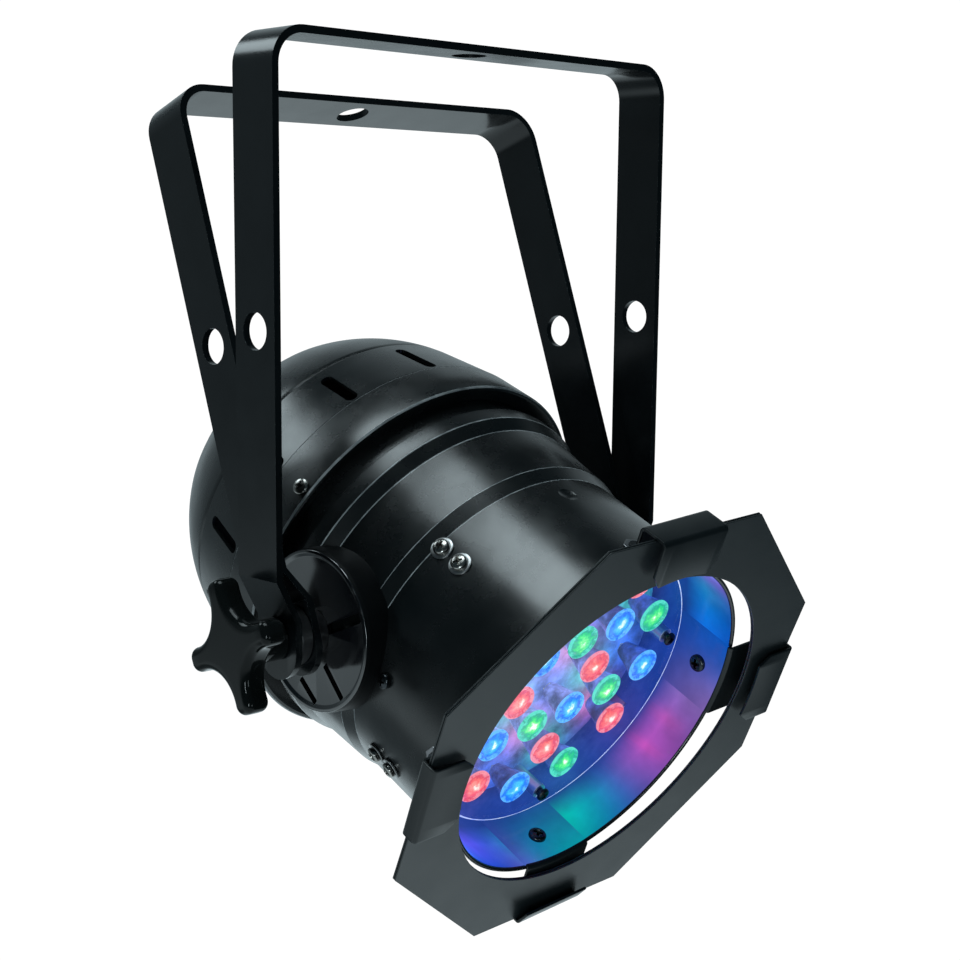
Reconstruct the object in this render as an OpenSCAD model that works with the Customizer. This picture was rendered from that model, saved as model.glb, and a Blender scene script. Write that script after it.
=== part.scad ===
// Par can light with two yokes: a stepped can, a vented rear, an octagonal colour frame in
// four sheet-metal clips, and a light-emitting module behind a clear plate.
// The origin is the middle of the hanging hole in the front yoke, +Z up, the beam towards -Y.

/* [Yokes] */
// Outer width of the front (hanging) yoke
front_yoke_w = 182; // [178:1:190]
// Height of the front yoke's top face above the pivot
front_yoke_h = 191.3; // [180:0.1:220]
// Outer width of the rear yoke
rear_yoke_w = 167.2; // [164:0.1:170]
// Height of the rear yoke's top face above the pivot
rear_yoke_h = 185.2; // [150:0.1:186]
// How far the rear yoke leans back from upright, in degrees
rear_yoke_lean = 19.65; // [0:0.05:60]
// Width of the flat bar
strap_w = 20; // [18:1:22]
// Thickness of the flat bar
strap_t = 2.5; // [2:0.1:3]
// Outer radius of the bends
bend_r = 12; // [8:1:16]
// How far the leg ends are joggled inwards
joggle = 7.5; // [7:0.1:8]
// Diameter of the hanging holes and the leg holes
hole_d = 12; // [8:0.5:13]
// Height of the front yoke's leg holes above the pivot
front_leg_hole_z = 98.8; // [60:0.1:140]
// Height of the rear yoke's leg holes above the pivot
rear_leg_hole_z = 97.8; // [60:0.1:140]

/* [Can] */
// Angle of the beam below level, in degrees
beam_tilt = 24.7; // [0:0.1:60]
// Radius of the front part of the can
barrel_r = 61.9; // [60:0.1:63]
// Distance of the rim's front from the pivot, along the beam
rim_s = 72.7; // [70:0.1:74]
// Largest radius, at the front edge of the rear housing
housing_r = 72.4; // [71:0.1:72.5]
// Thickness of the sheet metal
wall = 1.2; // [1:0.1:1.3]
// Number of vent slots
vent_count = 13; // [8:1:14]

/* [Colour frame] */
// Distance from the frame's centre to its flats
frame_apothem = 81.2; // [79:0.1:81.2]
// Radius of the frame's opening
frame_open_r = 63; // [55:0.5:66]
// Distance of the frame's front face from the pivot, along the beam
frame_s = 78.2; // [78:0.1:79]
// Turn of the frame and its clips about the beam, in degrees
frame_turn = 5.35; // [0:0.05:10]
// How far the loose frame leans forward at its top, in degrees
frame_lean = 1.8; // [0:0.1:1.8]
// How far the loose frame leans forward on its right, in degrees
frame_swing = 1.2; // [0:0.1:1.2]

/* [Light module] */
// Distance of the clear plate's front from the pivot, along the beam
plate_s = 53.4; // [52:0.1:54]
// Radius of the clear plate
plate_r = 55.7; // [54:0.1:56]
// Turn of the module about the beam, in degrees
module_turn = -1.3; // [-10:0.1:10]

/* [Hidden] */
$fn = 96;
EPS = 0.01;
GAP = 0.3;
TH = 10;

pivot_z = strap_t / 2 - front_yoke_h;
front_joggle = [6.5, 20.5];
rear_joggle = [10, 21];
foot_drop = 3.6;

// Places of the pivot stack on one side, outwards from the middle
front_end_x = front_yoke_w / 2 - joggle;
rear_end_x = rear_yoke_w / 2 - joggle;
bolt_r = 3.95;
bore_r = 4.03;
loose_r = 4.2;
bolt_end_x = 98;
hub_rim_x = 68.6;
hub_face_x = 67.9;
hub_back_x = 66.7;
hub_r = 26.9;
knob_turn = 23;
knob_head = [94.5, 103.5];
knob_r = 22;
knob_neck_r = 7;
valley_at = 24.4;
valley_r = 13.2;

// Can outline, as [radius, distance along the beam]
bead_1 = [[61.9, 18.9], [63.6, 13.5]];
bead_2 = [[65.06, -8.8], [67.5, -13.8]];
groove = [[67.5, -20], [66, -20.6]];
groove_r = groove[1][0];
rim_bead = 0.8;
barrel_end_s = -37;
housing_s = [-27, -44];
vent_band_r = [71.3, 66.5];
dome_s = [-69.6, -100];
dome_r = 75.4;
dome_centre = [-6.86, -52.26];
panel_seat_r = [44.5, 50.5];
panel_screw_r = 47.4;

// Screws through the can: angle from +X towards the top, then distances along the beam
screw_pairs = [[136.8, 21, 30.2], [210.4, 30.4, 38.6]];
side_screw = [179.4, 30.9];
joint_angles = [150, 30, 270];
joint_s = -31;
clip_screw_s = 62.5;

// Light module stations along the beam
board_s = 37;
board_t = 1.6;
plate_t = 2;
collimator_h = 11;
// Rings of lights: radius, first angle, count, colours in order (0 red, 1 green, 2 blue)
rings = [[17.2, 15, 6, [0, 1, 2]], [30, 45, 6, [2, 0, 1]], [44.5, 0, 12, [2, 1, 0]]];
plate_screw_r = 50.3;
plate_screw_turn = 15;

// Rear panel: plane of its inner face, and places as [right as seen from the front, up]
panel_s = -100;
panel_t = 1.5;
panel_r = 50;
display_size = [32, 12];
display_at = [0, 32];
button_x = [-18, -6, 6, 18];
button_y = 18.5;
button_r = 3.4;
data_at = [14, -1];
inlet_at = [0, -29.5];
fuse_at = [30.5, -22];
eye_at = [-30.5, -22];

leaf_t = 0.6;
clip_w = 29;
clip_t = 1;
clip_radial = 82.4;
clip_play = 3;
rim_gap = 0.25;

// ---------------------------------------------------------------- frames of reference

module at_pivot() { translate([0, 0, pivot_z]) children(); }

// Local axes of the can: X to the right, Y up across the beam, Z along the beam
module in_can() { at_pivot() rotate([90 + beam_tilt, 0, 0]) children(); }

module at_angle(a, s) { rotate([0, 0, a]) translate([0, 0, s]) children(); }

// Local Z points radially out of the can at angle a and distance s
module radially(a, s) { at_angle(a, s) rotate([0, 90, 0]) children(); }

// Local Z points out of the can's side, -1 for left and 1 for right
module outwards(side) { at_pivot() rotate([0, 90 * side, 0]) children(); }

// Local Z points backwards out of the rear panel, local X to the right as seen from the front
module on_panel(at) { in_can() translate([at[0], at[1], panel_s]) mirror([0, 0, 1]) children(); }

module tube(r, inner, h) {
    difference() {
        cylinder(h = h, r = r);
        translate([0, 0, -1]) cylinder(h = h + 2, r = inner);
    }
}

// ---------------------------------------------------------------- yokes

// Filled outline of a yoke in X and Z above its pivot
module yoke_outline(w, h, r, bend, inset, foot) {
    translate([-w / 2, bend[1]]) square([w, h - r - bend[1]]);
    translate([r - w / 2, h - r - EPS]) square([w - 2 * r, r + EPS]);
    for (side = [-1, 1]) translate([side * (w / 2 - r), h - r]) circle(r = r);
    polygon([
        [inset - w / 2, bend[0]], [w / 2 - inset, bend[0]],
        [w / 2, bend[1] + EPS], [-w / 2, bend[1] + EPS]
    ]);
    translate([inset - w / 2, -foot]) square([w - 2 * inset, bend[0] + foot + EPS]);
}

module yoke(w, h, bend, leg_hole_z) {
    difference() {
        rotate([90, 0, 0]) linear_extrude(height = strap_w, center = true) difference() {
            yoke_outline(w, h, bend_r, bend, joggle, strap_w / 2 + foot_drop);
            yoke_outline(w - 2 * strap_t, h - strap_t, bend_r - strap_t, bend, joggle, strap_w);
        }
        difference() {
            translate([-w, -strap_w, -strap_w - foot_drop]) cube([2 * w, 2 * strap_w, strap_w]);
            translate([0, 0, -foot_drop]) rotate([0, 90, 0]) cylinder(h = 3 * w, r = strap_w / 2, center = true);
        }
        rotate([0, 90, 0]) cylinder(h = 3 * w, r = bore_r, center = true);
        translate([0, 0, leg_hole_z]) rotate([0, 90, 0]) cylinder(h = 3 * w, d = hole_d, center = true);
        translate([0, 0, h - TH]) cylinder(h = 2 * TH, d = hole_d);
    }
}

module front_yoke() {
    color("#15171a") at_pivot() yoke(front_yoke_w, front_yoke_h, front_joggle, front_leg_hole_z);
}

module rear_yoke() {
    color("#15171a") at_pivot() rotate([-rear_yoke_lean, 0, 0])
        yoke(rear_yoke_w, rear_yoke_h, rear_joggle, rear_leg_hole_z);
}

// ---------------------------------------------------------------- can shells

barrel_outline = [
    [barrel_r, rim_s - rim_bead], bead_1[0], bead_1[1], bead_2[0], bead_2[1],
    groove[0], groove[1], [groove_r, barrel_end_s]
];
barrel_inside = [
    [groove_r - wall, barrel_end_s], [groove_r - wall, groove[1][1] + wall],
    [groove[0][0] - wall, groove[0][1] + wall], [bead_2[1][0] - wall, bead_2[1][1]],
    [bead_2[0][0] - wall, bead_2[0][1]], [bead_1[1][0] - wall, bead_1[1][1]],
    [bead_1[0][0] - wall, bead_1[0][1]], [barrel_r - wall, rim_s - rim_bead]
];

// The can as one solid, for trimming what is fixed to its outside
module can_solid() {
    rotate_extrude() polygon(concat(
        [[0, rim_s - rim_bead]], barrel_outline, [[0, barrel_end_s]]
    ));
}

module radial_hole(a, s, r, from = 55, to = 80) {
    radially(a, s) translate([0, 0, from]) cylinder(h = to - from, r = r, $fn = 32);
}

module front_barrel() {
    color("#121416") in_can() difference() {
        union() {
            rotate_extrude() polygon(concat(barrel_outline, barrel_inside));
            translate([0, 0, rim_s - rim_bead]) rotate_extrude()
                translate([barrel_r - wall + rim_bead, 0]) circle(r = rim_bead, $fn = 32);
        }
        for (a = [0, 180]) radial_hole(a, 0, loose_r);
        for (p = screw_pairs) for (a = [p[0], 180 - p[0]]) for (s = [p[1], p[2]]) radial_hole(a, s, 2);
        for (a = [side_screw[0], 180 - side_screw[0]]) radial_hole(a, side_screw[1], 2);
        for (a = joint_angles) radial_hole(a, joint_s, 2);
        for (i = [0:3]) radial_hole(frame_turn + 90 * i, clip_screw_s, 2);
        radially(91.7, 27.6) translate([0, 0, barrel_r + 7.2]) sphere(r = 8, $fn = 48);
        // Flats in the bead, for the washers nearest to it
        for (a = [screw_pairs[0][0], 180 - screw_pairs[0][0]])
            radially(a, screw_pairs[0][1]) translate([0, 0, barrel_r + 0.03]) cylinder(h = 4, r = 4.1, $fn = 48);
    }
}

module rear_housing() {
    step_in = 2.4;
    front_s = housing_s[0];
    back_s = housing_s[1];
    back_r = vent_band_r[0];
    color("#121416") in_can() difference() {
        rotate_extrude() polygon([
            [groove_r + 0.05, front_s - 1.6], [housing_r - 1.6, front_s], [housing_r - 0.4, front_s],
            [housing_r, front_s - 0.5], [back_r, back_s], [back_r - wall, back_s],
            [housing_r - wall - 0.3, front_s - 3.2], [groove_r + step_in, front_s - 3.2],
            [groove_r + 1.25, front_s - 5], [groove_r + 1.25, barrel_end_s], [groove_r + 0.05, barrel_end_s]
        ]);
        for (a = joint_angles) radial_hole(a, joint_s, 2);
    }
}

module vent_slot(length, width) {
    for (end = [-1, 1]) translate([end * (length - width) / 2, 0, 60]) cylinder(h = 20, d = width, $fn = 24);
    translate([(width - length) / 2, -width / 2, 60]) cube([length - width, width, 20]);
}

module rear_shell() {
    band_top = [vent_band_r[0] - 0.1, housing_s[1] - 0.15];
    band_end = [vent_band_r[1], dome_s[0]];
    sleeve_r = vent_band_r[0] - wall - 0.1;
    color("#121416") in_can() difference() {
        union() {
            rotate_extrude() polygon([
                band_top, band_end, band_end - [0.35, 1], band_end - [wall, 1],
                [vent_band_r[0] - 2 * wall, housing_s[1] - 2], [vent_band_r[0] - 2 * wall, housing_s[1] + 5],
                [sleeve_r, housing_s[1] + 5], [sleeve_r, housing_s[1] - 0.15]
            ]);
            rotate_extrude() intersection() {
                difference() {
                    translate(dome_centre) circle(r = dome_r, $fn = 180);
                    translate(dome_centre) circle(r = dome_r - wall, $fn = 180);
                }
                translate([20, dome_s[1]]) square([60, dome_s[0] - dome_s[1]]);
            }
            translate([0, 0, dome_s[1]]) difference() {
                cylinder(h = wall, r = panel_seat_r[1]);
                translate([0, 0, -1]) cylinder(h = wall + 2, r = panel_seat_r[0]);
            }
        }
        for (i = [0:vent_count - 1])
            radially(94.2 + i * 360 / vent_count, -54.8) vent_slot(19.8, 4.6);
        for (a = [45:90:315]) at_angle(a, panel_s - 1) translate([panel_screw_r, 0, 0]) cylinder(h = 4, r = 1.5, $fn = 24);
    }
}

// ---------------------------------------------------------------- pivots

// A slot in the hub's face between two points given as [towards the back, up] from the pivot
module hub_slot(side, from, to, width) {
    run = to - from;
    turn = atan2(run[1], run[0]);
    at_pivot() translate([side * hub_back_x - side, from[0], from[1]]) rotate([turn, 0, 0])
        translate([-4, 0, -width / 2]) cube([8, norm(run), width]);
}

module side_hub(side) {
    color("#15171a") difference() {
        outwards(side) rotate_extrude() polygon([
            [loose_r, hub_back_x], [hub_r - 2.6, hub_back_x], [hub_r - 1.4, hub_back_x - 2], [hub_r - 1.2, 50],
            [hub_r + 1.4, 50], [hub_r + 0.4, hub_rim_x - 1.6],
            [hub_r + 0.1, hub_rim_x - 0.4], [hub_r - 0.4, hub_rim_x], [hub_r - 1.1, hub_rim_x],
            [hub_r - 2.1, hub_face_x], [loose_r, hub_face_x]
        ]);
        in_can() can_solid();
        hub_slot(side, [-13.8, -20.4], [-5, -10.6], 2.4);
        hub_slot(side, [-0.2, -24.4], [7.6, -17.4], 2.4);
        hub_slot(side, [-23, 8.3], [-6.4, 1.4], 3.4);
    }
}

module pivot_bolt(side) {
    color("#3a3c40") outwards(side) {
        translate([0, 0, 57.8]) cylinder(h = 4.9, r = 7.2, $fn = 6);
        translate([0, 0, 62]) cylinder(h = bolt_end_x - 62, r = bolt_r);
    }
}

module pivot_spacers() {
    color("#0d0e10") for (side = [-1, 1]) outwards(side)
        translate([0, 0, hub_face_x]) tube(7.4, loose_r, rear_end_x - strap_t - GAP - hub_face_x);
}

module friction_washers() {
    color("#0d0e10") for (side = [-1, 1]) outwards(side)
        translate([0, 0, rear_end_x + GAP]) tube(10, loose_r, front_end_x - strap_t - rear_end_x - 2 * GAP);
}

module knob(side) {
    color("#08090a") outwards(side) difference() {
        union() {
            translate([0, 0, front_end_x + GAP]) cylinder(h = knob_head[0] - front_end_x, r = knob_neck_r);
            translate([0, 0, knob_head[0]]) rotate(side < 0 ? knob_turn : 180 - knob_turn)
                linear_extrude(height = knob_head[1] - knob_head[0]) difference() {
                    circle(r = knob_r);
                    for (i = [0:3]) rotate(45 + 90 * i) translate([valley_at, 0]) circle(r = valley_r, $fn = 96);
                }
        }
        translate([0, 0, front_end_x - 1]) cylinder(h = bolt_end_x + 1 - front_end_x + 1, r = bore_r);
    }
}

// ---------------------------------------------------------------- colour frame and clips

module frame_leaf(lean, swing, s) {
    in_can() translate([0, 0, s]) rotate([lean, -swing, 0]) rotate(frame_turn) linear_extrude(height = leaf_t)
        difference() {
            rotate(22.5) circle(r = frame_apothem / cos(22.5), $fn = 8);
            circle(r = frame_open_r);
        }
}

module gel_frame_front() { color("#17191c") frame_leaf(frame_lean, frame_swing, frame_s - leaf_t); }

// The rear leaf lies close behind the front one, with room for a colour sheet between them
module gel_frame_rear() { color("#17191c") frame_leaf(frame_lean, frame_swing, frame_s - 2 * leaf_t - 0.3); }

// Front face of a clip, so that it stands a little in front of the leaning frame
function clip_front(a) = frame_s + clip_play
    + clip_radial * (sin(a) * sin(frame_lean) + cos(a) * sin(frame_swing));

// The part of a clip that is the same on all four: curved plate, strip across the gap, spine
module clip_back(front_s) {
    half = asin(clip_w / 2 / barrel_r);
    inner_r = barrel_r - wall - 0.1 - clip_t;
    back_s = rim_s + rim_gap;
    difference() {
        translate([0, 0, 47]) rotate([0, 0, -half]) rotate_extrude(angle = 2 * half)
            translate([inner_r, 0]) square([clip_t, back_s + clip_t - 47]);
        radial_hole(0, clip_screw_s, 2);
    }
    translate([inner_r + 0.2, -clip_w / 2, back_s]) cube([clip_radial - inner_r - 0.2, clip_w, clip_t]);
    translate([clip_radial - clip_t, -clip_w / 2, back_s]) cube([clip_t, clip_w, front_s - back_s]);
}

module clip(a) {
    front_s = clip_front(a);
    color("#15171a") in_can() rotate([0, 0, a + frame_turn]) {
        clip_back(front_s);
        translate([0, 0, front_s - clip_t]) linear_extrude(height = clip_t) difference() {
            polygon([
                [clip_radial, -clip_w / 2], [clip_radial, clip_w / 2], [70, clip_w / 2],
                [65.5, clip_w / 2 - 3.5], [65.5, 3.5 - clip_w / 2], [70, -clip_w / 2]
            ]);
            translate([5.4, 0]) circle(r = 61);
        }
    }
}

module clip_right() { clip(0); }
module clip_top() { clip(90); }
module clip_left() { clip(180); }

// The lower clip has only a short flared lip, so that the frame can be lifted over it
module clip_bottom() {
    front_s = clip_front(270);
    color("#15171a") in_can() rotate([0, 0, 270 + frame_turn]) {
        clip_back(front_s - 0.4);
        translate([clip_radial - clip_t, 0, front_s - 1.4]) rotate([90, 0, 0])
            linear_extrude(height = clip_w, center = true) polygon([
                [0, 0], [clip_t, 0], [clip_t, 1.4], [-6.2, 3.1], [-6.2, 2.1]
            ]);
    }
}

module clip_screws() {
    color("#c8c8c8") in_can() for (i = [0:3]) radially(frame_turn + 90 * i, clip_screw_s) {
        translate([0, 0, 57.2]) cylinder(h = 2.4, r = 3.6, $fn = 48);
        translate([0, 0, 59]) cylinder(h = 6.8, r = 1.9, $fn = 32);
    }
}

module clip_nuts() {
    color("#9a9a9a") in_can() for (i = [0:3]) radially(frame_turn + 90 * i, clip_screw_s)
        translate([0, 0, barrel_r + 0.05]) difference() {
            cylinder(h = 3, r = 4, $fn = 6);
            translate([0, 0, -1]) cylinder(h = 5, r = 1.95, $fn = 32);
        }
}

// ---------------------------------------------------------------- light module

module lens_plate() {
    color("#e8f0f4", 0.35) in_can() translate([0, 0, plate_s - plate_t]) difference() {
        cylinder(h = plate_t, r = plate_r);
        for (i = [0:3]) rotate([0, 0, module_turn + plate_screw_turn + 90 * i])
            translate([plate_screw_r, 0, -1]) cylinder(h = plate_t + 2, r = 1.7, $fn = 32);
    }
}

module lens_screws() {
    color("#b8b8b8") in_can() for (i = [0:3])
        rotate([0, 0, module_turn + plate_screw_turn + 90 * i]) translate([plate_screw_r, 0, 0]) {
            translate([0, 0, plate_s]) cylinder(h = 1.8, r = 3, $fn = 48);
            translate([0, 0, plate_s - plate_t - 4]) cylinder(h = plate_t + 5, r = 1.5, $fn = 32);
        }
}

module lens_spacers() {
    base = board_s + board_t;
    color("#d0d0d0") in_can() for (i = [0:3])
        rotate([0, 0, module_turn + plate_screw_turn + 90 * i]) translate([plate_screw_r, 0, base])
            tube(2.8, 1.6, plate_s - plate_t - base);
}

module each_light(colour) {
    for (ring = rings) for (i = [0:ring[2] - 1])
        if (colour < 0 || ring[3][i % 3] == colour)
            rotate([0, 0, module_turn + ring[1] + 360 / ring[2] * i])
                translate([ring[0], 0, 0]) children();
}

module collimator() {
    base = board_s + board_t + 1;
    rim = base + collimator_h;
    translate([0, 0, base]) cylinder(h = collimator_h - 1, r1 = 3, r2 = 6);
    translate([0, 0, rim - 1 - EPS]) cylinder(h = 1, r = 6.4);
}

module lenses_red() { color("#ff5040") in_can() each_light(0) collimator(); }
module lenses_green() { color("#50e070") in_can() each_light(1) collimator(); }
module lenses_blue() { color("#5080ff") in_can() each_light(2) collimator(); }

module led_board() {
    color("#e8ecee") in_can() translate([0, 0, board_s]) cylinder(h = board_t, r = 54);
}

module led_emitters() {
    color("#f0e8b0") in_can() each_light(-1)
        translate([-1.75, -1.75, board_s + board_t]) cube([3.5, 3.5, 0.8]);
}

module heat_sink() {
    fin_h = 18;
    base_t = 4;
    color("#9ea2a6") in_can() {
        translate([0, 0, board_s - base_t]) cylinder(h = base_t, r = 52);
        for (i = [-6:6]) {
            reach = sqrt(50 * 50 - 49 * i * i);
            translate([7 * i - 0.9, -reach, board_s - base_t - fin_h]) cube([1.8, 2 * reach, fin_h + EPS]);
        }
    }
}

// Angle brackets from the can's wall to the heat sink's base
module module_brackets() {
    foot_s = board_s - 4;
    color("#8a8d90") in_can() for (p = screw_pairs) for (a = [p[0], 180 - p[0]])
        rotate([0, 0, a]) difference() {
            union() {
                translate([57, -6, p[1] - 4]) cube([1.6, 12, 17.5]);
                translate([52, -6, foot_s]) cube([6, 12, 1.6]);
            }
            for (s = [p[1], p[2]]) translate([55, 0, s]) rotate([0, 90, 0]) cylinder(h = 6, r = 2, $fn = 32);
        }
}

// ---------------------------------------------------------------- screws of the can

module pan_screw(base_r, seat, length = 6.5, head_r = 3.2) {
    translate([0, 0, base_r + seat]) cylinder(h = 2, r = head_r, $fn = 48);
    translate([0, 0, base_r - length]) cylinder(h = length + seat + 0.5, r = 1.9, $fn = 32);
}

module each_pair_screw() {
    for (p = screw_pairs) for (a = [p[0], 180 - p[0]]) for (s = [p[1], p[2]]) radially(a, s) children();
}

module barrel_screws() { color("#d8d8d8") in_can() each_pair_screw() pan_screw(barrel_r, 0.85); }

module barrel_washers() {
    color("#b0b0b0") in_can() each_pair_screw() translate([0, 0, barrel_r + 0.05]) tube(3.9, 2, 0.8);
}

module side_screws() {
    color("#404448") in_can() for (a = [side_screw[0], 180 - side_screw[0]])
        radially(a, side_screw[1]) pan_screw(barrel_r, 0.05, head_r = 2.6);
}

module joint_screws() {
    color("#c0c0c0") in_can() for (a = joint_angles) radially(a, joint_s) pan_screw(housing_r, 0, 9);
}

// ---------------------------------------------------------------- inside

module chassis_plate() {
    color("#8a8d90") in_can() translate([-42, -10, -62]) cube([84, 1.5, 76]);
}

module power_supply() {
    color("#b4b8ba") in_can() translate([-38, -8.4, -52]) cube([60, 26, 58]);
}

module board_standoffs() {
    color("#c9b26a") in_can() for (x = [-34, 34]) for (s = [-54, 4])
        translate([x, -10.1, s]) rotate([90, 0, 0]) cylinder(h = 7.9, r = 2.5, $fn = 32);
}

module control_board() {
    color("#1f5c3a") in_can() {
        translate([-38, -19.7, -58]) cube([76, 1.6, 66]);
        for (x = [-24, -8, 8]) translate([x, -26, -45]) cube([9, 6.4, 16]);
        translate([0, -19.6, -10]) rotate([90, 0, 0]) cylinder(h = 12, r = 5, $fn = 48);
        translate([18, -19.6, -10]) rotate([90, 0, 0]) cylinder(h = 12, r = 5, $fn = 48);
    }
}

// ---------------------------------------------------------------- rear panel

module rear_panel() {
    color("#15171a") difference() {
        on_panel([0, 0]) cylinder(h = panel_t, r = panel_r);
        on_panel(display_at) translate([-display_size[0] / 2, -display_size[1] / 2, -1])
            cube([display_size[0], display_size[1], 4]);
        for (x = button_x) on_panel([x, button_y]) translate([0, 0, -1]) cylinder(h = 4, r = button_r + GAP);
        for (side = [-1, 1]) on_panel([side * data_at[0], data_at[1]])
            translate([0, 0, -1]) cylinder(h = 4, r = 11.9);
        on_panel(inlet_at) translate([-13.6, -9.9, -1]) cube([27.2, 19.8, 4]);
        on_panel(fuse_at) translate([0, 0, -1]) cylinder(h = 4, r = 6.1);
        on_panel(eye_at) translate([0, 0, -1]) cylinder(h = 4, r = 2.6);
        for (a = [45:90:315]) on_panel([panel_screw_r * cos(a), panel_screw_r * sin(a)])
            translate([0, 0, -1]) cylinder(h = 4, r = 1.6, $fn = 24);
    }
}

module panel_screws() {
    color("#c0c0c0") for (a = [45:90:315]) on_panel([panel_screw_r * cos(a), panel_screw_r * sin(a)]) {
        translate([0, 0, panel_t]) cylinder(h = 1.4, r = 2.6, $fn = 48);
        translate([0, 0, -4]) cylinder(h = 6, r = 1.4, $fn = 24);
    }
}

module display_module() {
    w = display_size[0] - 0.2;
    h = display_size[1] - 0.2;
    color("#2a0606") on_panel(display_at) {
        translate([-w / 2, -h / 2, -8]) cube([w, h, 8.6 + panel_t]);
        translate([-w / 2 - 2, -h / 2 - 1, -9.6]) cube([w + 4, h + 2, 8]);
    }
}

module menu_button(i) {
    color("#2c2f33") on_panel([button_x[i], button_y]) {
        translate([0, 0, -2]) cylinder(h = 2 + panel_t + 1.8, r = button_r, $fn = 48);
        translate([0, 0, -3.2]) cylinder(h = 1.4, r = button_r + 1, $fn = 48);
    }
}

module menu_button_1() { menu_button(0); }
module menu_button_2() { menu_button(1); }
module menu_button_3() { menu_button(2); }
module menu_button_4() { menu_button(3); }

module button_switches() {
    color("#1f5c3a") on_panel([0, button_y]) {
        translate([-26, -4.2, -10]) cube([52, 8.4, 1.6]);
        for (x = button_x) translate([x - 3, -3, -8.5]) cube([6, 6, 3.6]);
    }
}

module data_socket_body(depth) {
    flange = [25, 27.6];
    difference() {
        union() {
            translate([-flange[0] / 2, -flange[1] / 2, panel_t]) cube([flange[0], flange[1], 2]);
            translate([0, 0, -22]) cylinder(h = 22.5 + panel_t, r = 11.7);
        }
        translate([0, 0, panel_t + 2 - depth]) children();
    }
}

// Male socket: an open cup with three pins
module data_in_socket() {
    color("#26282b") on_panel([data_at[0], data_at[1]]) data_socket_body(16) cylinder(h = 17, r = 9.6);
}

module data_in_pins() {
    color("#d9c27a") on_panel([data_at[0], data_at[1]]) for (a = [90, 210, 330])
        rotate([0, 0, a]) translate([5, 0, panel_t - 14]) cylinder(h = 12.5, r = 1.25, $fn = 24);
}

// Female socket: a solid face with three holes, a ring groove and a notch for the release tab
module data_out_socket() {
    color("#26282b") on_panel([-data_at[0], data_at[1]]) difference() {
        data_socket_body(12) union() {
            for (a = [90, 210, 330]) rotate([0, 0, a]) translate([5, 0, 0]) cylinder(h = 13, r = 1.5, $fn = 24);
            tube(9.9, 8.1, 13);
        }
        translate([-3.4, 10.2, panel_t]) cube([6.8, 5, 6]);
    }
}

module release_tab() {
    color("#6a6e72") on_panel([-data_at[0], data_at[1]])
        translate([-3, 10.5, panel_t + 1.7]) cube([6, 3.2, 2.4]);
}

module power_inlet() {
    color("#1b1d1f") on_panel(inlet_at) difference() {
        union() {
            translate([-15.3, -11.4, panel_t]) cube([30.6, 22.8, 2]);
            translate([-13.4, -9.7, -20]) cube([26.8, 19.4, 20.5 + panel_t]);
        }
        translate([-12, -8, -14]) cube([24, 16, 20]);
    }
}

module inlet_blades() {
    color("#c8c8c8") on_panel(inlet_at) for (p = [[-7, -1.5], [0, 2.5], [7, -1.5]])
        translate([p[0] - 1, p[1] - 2, -14]) cube([2, 4, 12]);
}

module fuse_holder() {
    color("#1b1d1f") on_panel(fuse_at) difference() {
        union() {
            translate([0, 0, panel_t]) cylinder(h = 1.4, r = 7.2);
            translate([0, 0, -18]) cylinder(h = 18.5 + panel_t, r = 5.9);
        }
        translate([0, 0, -14]) cylinder(h = 20, r = 4.4);
    }
}

module fuse_cap() {
    color("#26282b") on_panel(fuse_at) difference() {
        union() {
            translate([0, 0, panel_t + 1.7]) cylinder(h = 4.6, r = 6.2);
            translate([0, 0, -10]) cylinder(h = 12.5 + panel_t, r = 4.1);
        }
        translate([-4.5, -0.5, panel_t + 5.3]) cube([9, 1, 2]);
    }
}

module safety_eye() {
    color("#b8b8b8") on_panel(eye_at) {
        translate([0, 0, -4]) cylinder(h = 8, r = 2.5, $fn = 32);
        translate([0, 0, panel_t]) cylinder(h = 1.6, r = 5);
        translate([0, 0, panel_t + 8.6]) rotate([0, 90, 30]) rotate_extrude() translate([5.5, 0]) circle(r = 1.7, $fn = 24);
    }
}

front_yoke();
rear_yoke();
front_barrel();
rear_housing();
rear_shell();
side_hub(-1);  // side_hub_left
side_hub(1);  // side_hub_right
pivot_bolt(-1);  // pivot_bolt_left
pivot_bolt(1);  // pivot_bolt_right
pivot_spacers();
friction_washers();
knob(-1);  // knob_left
knob(1);  // knob_right
gel_frame_front();
gel_frame_rear();
clip_right();
clip_top();
clip_left();
clip_bottom();
clip_screws();
clip_nuts();
lens_plate();
lens_screws();
lens_spacers();
lenses_red();
lenses_green();
lenses_blue();
led_board();
led_emitters();
heat_sink();
module_brackets();
barrel_screws();
barrel_washers();
side_screws();
joint_screws();
chassis_plate();
power_supply();
control_board();
board_standoffs();
rear_panel();
panel_screws();
display_module();
menu_button_1();
menu_button_2();
menu_button_3();
menu_button_4();
button_switches();
data_in_socket();
data_in_pins();
data_out_socket();
release_tab();
power_inlet();
inlet_blades();
fuse_holder();
fuse_cap();
safety_eye();
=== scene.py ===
"""Looks of the par can light: smooth lathes, bent sheet metal, screws, lit lenses and paint."""

from math import acos, asin, atan2, cos, degrees, exp, hypot, pi, radians, sin, sqrt, tan

import bmesh
import bpy
from mathutils import Matrix, Vector


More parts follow.
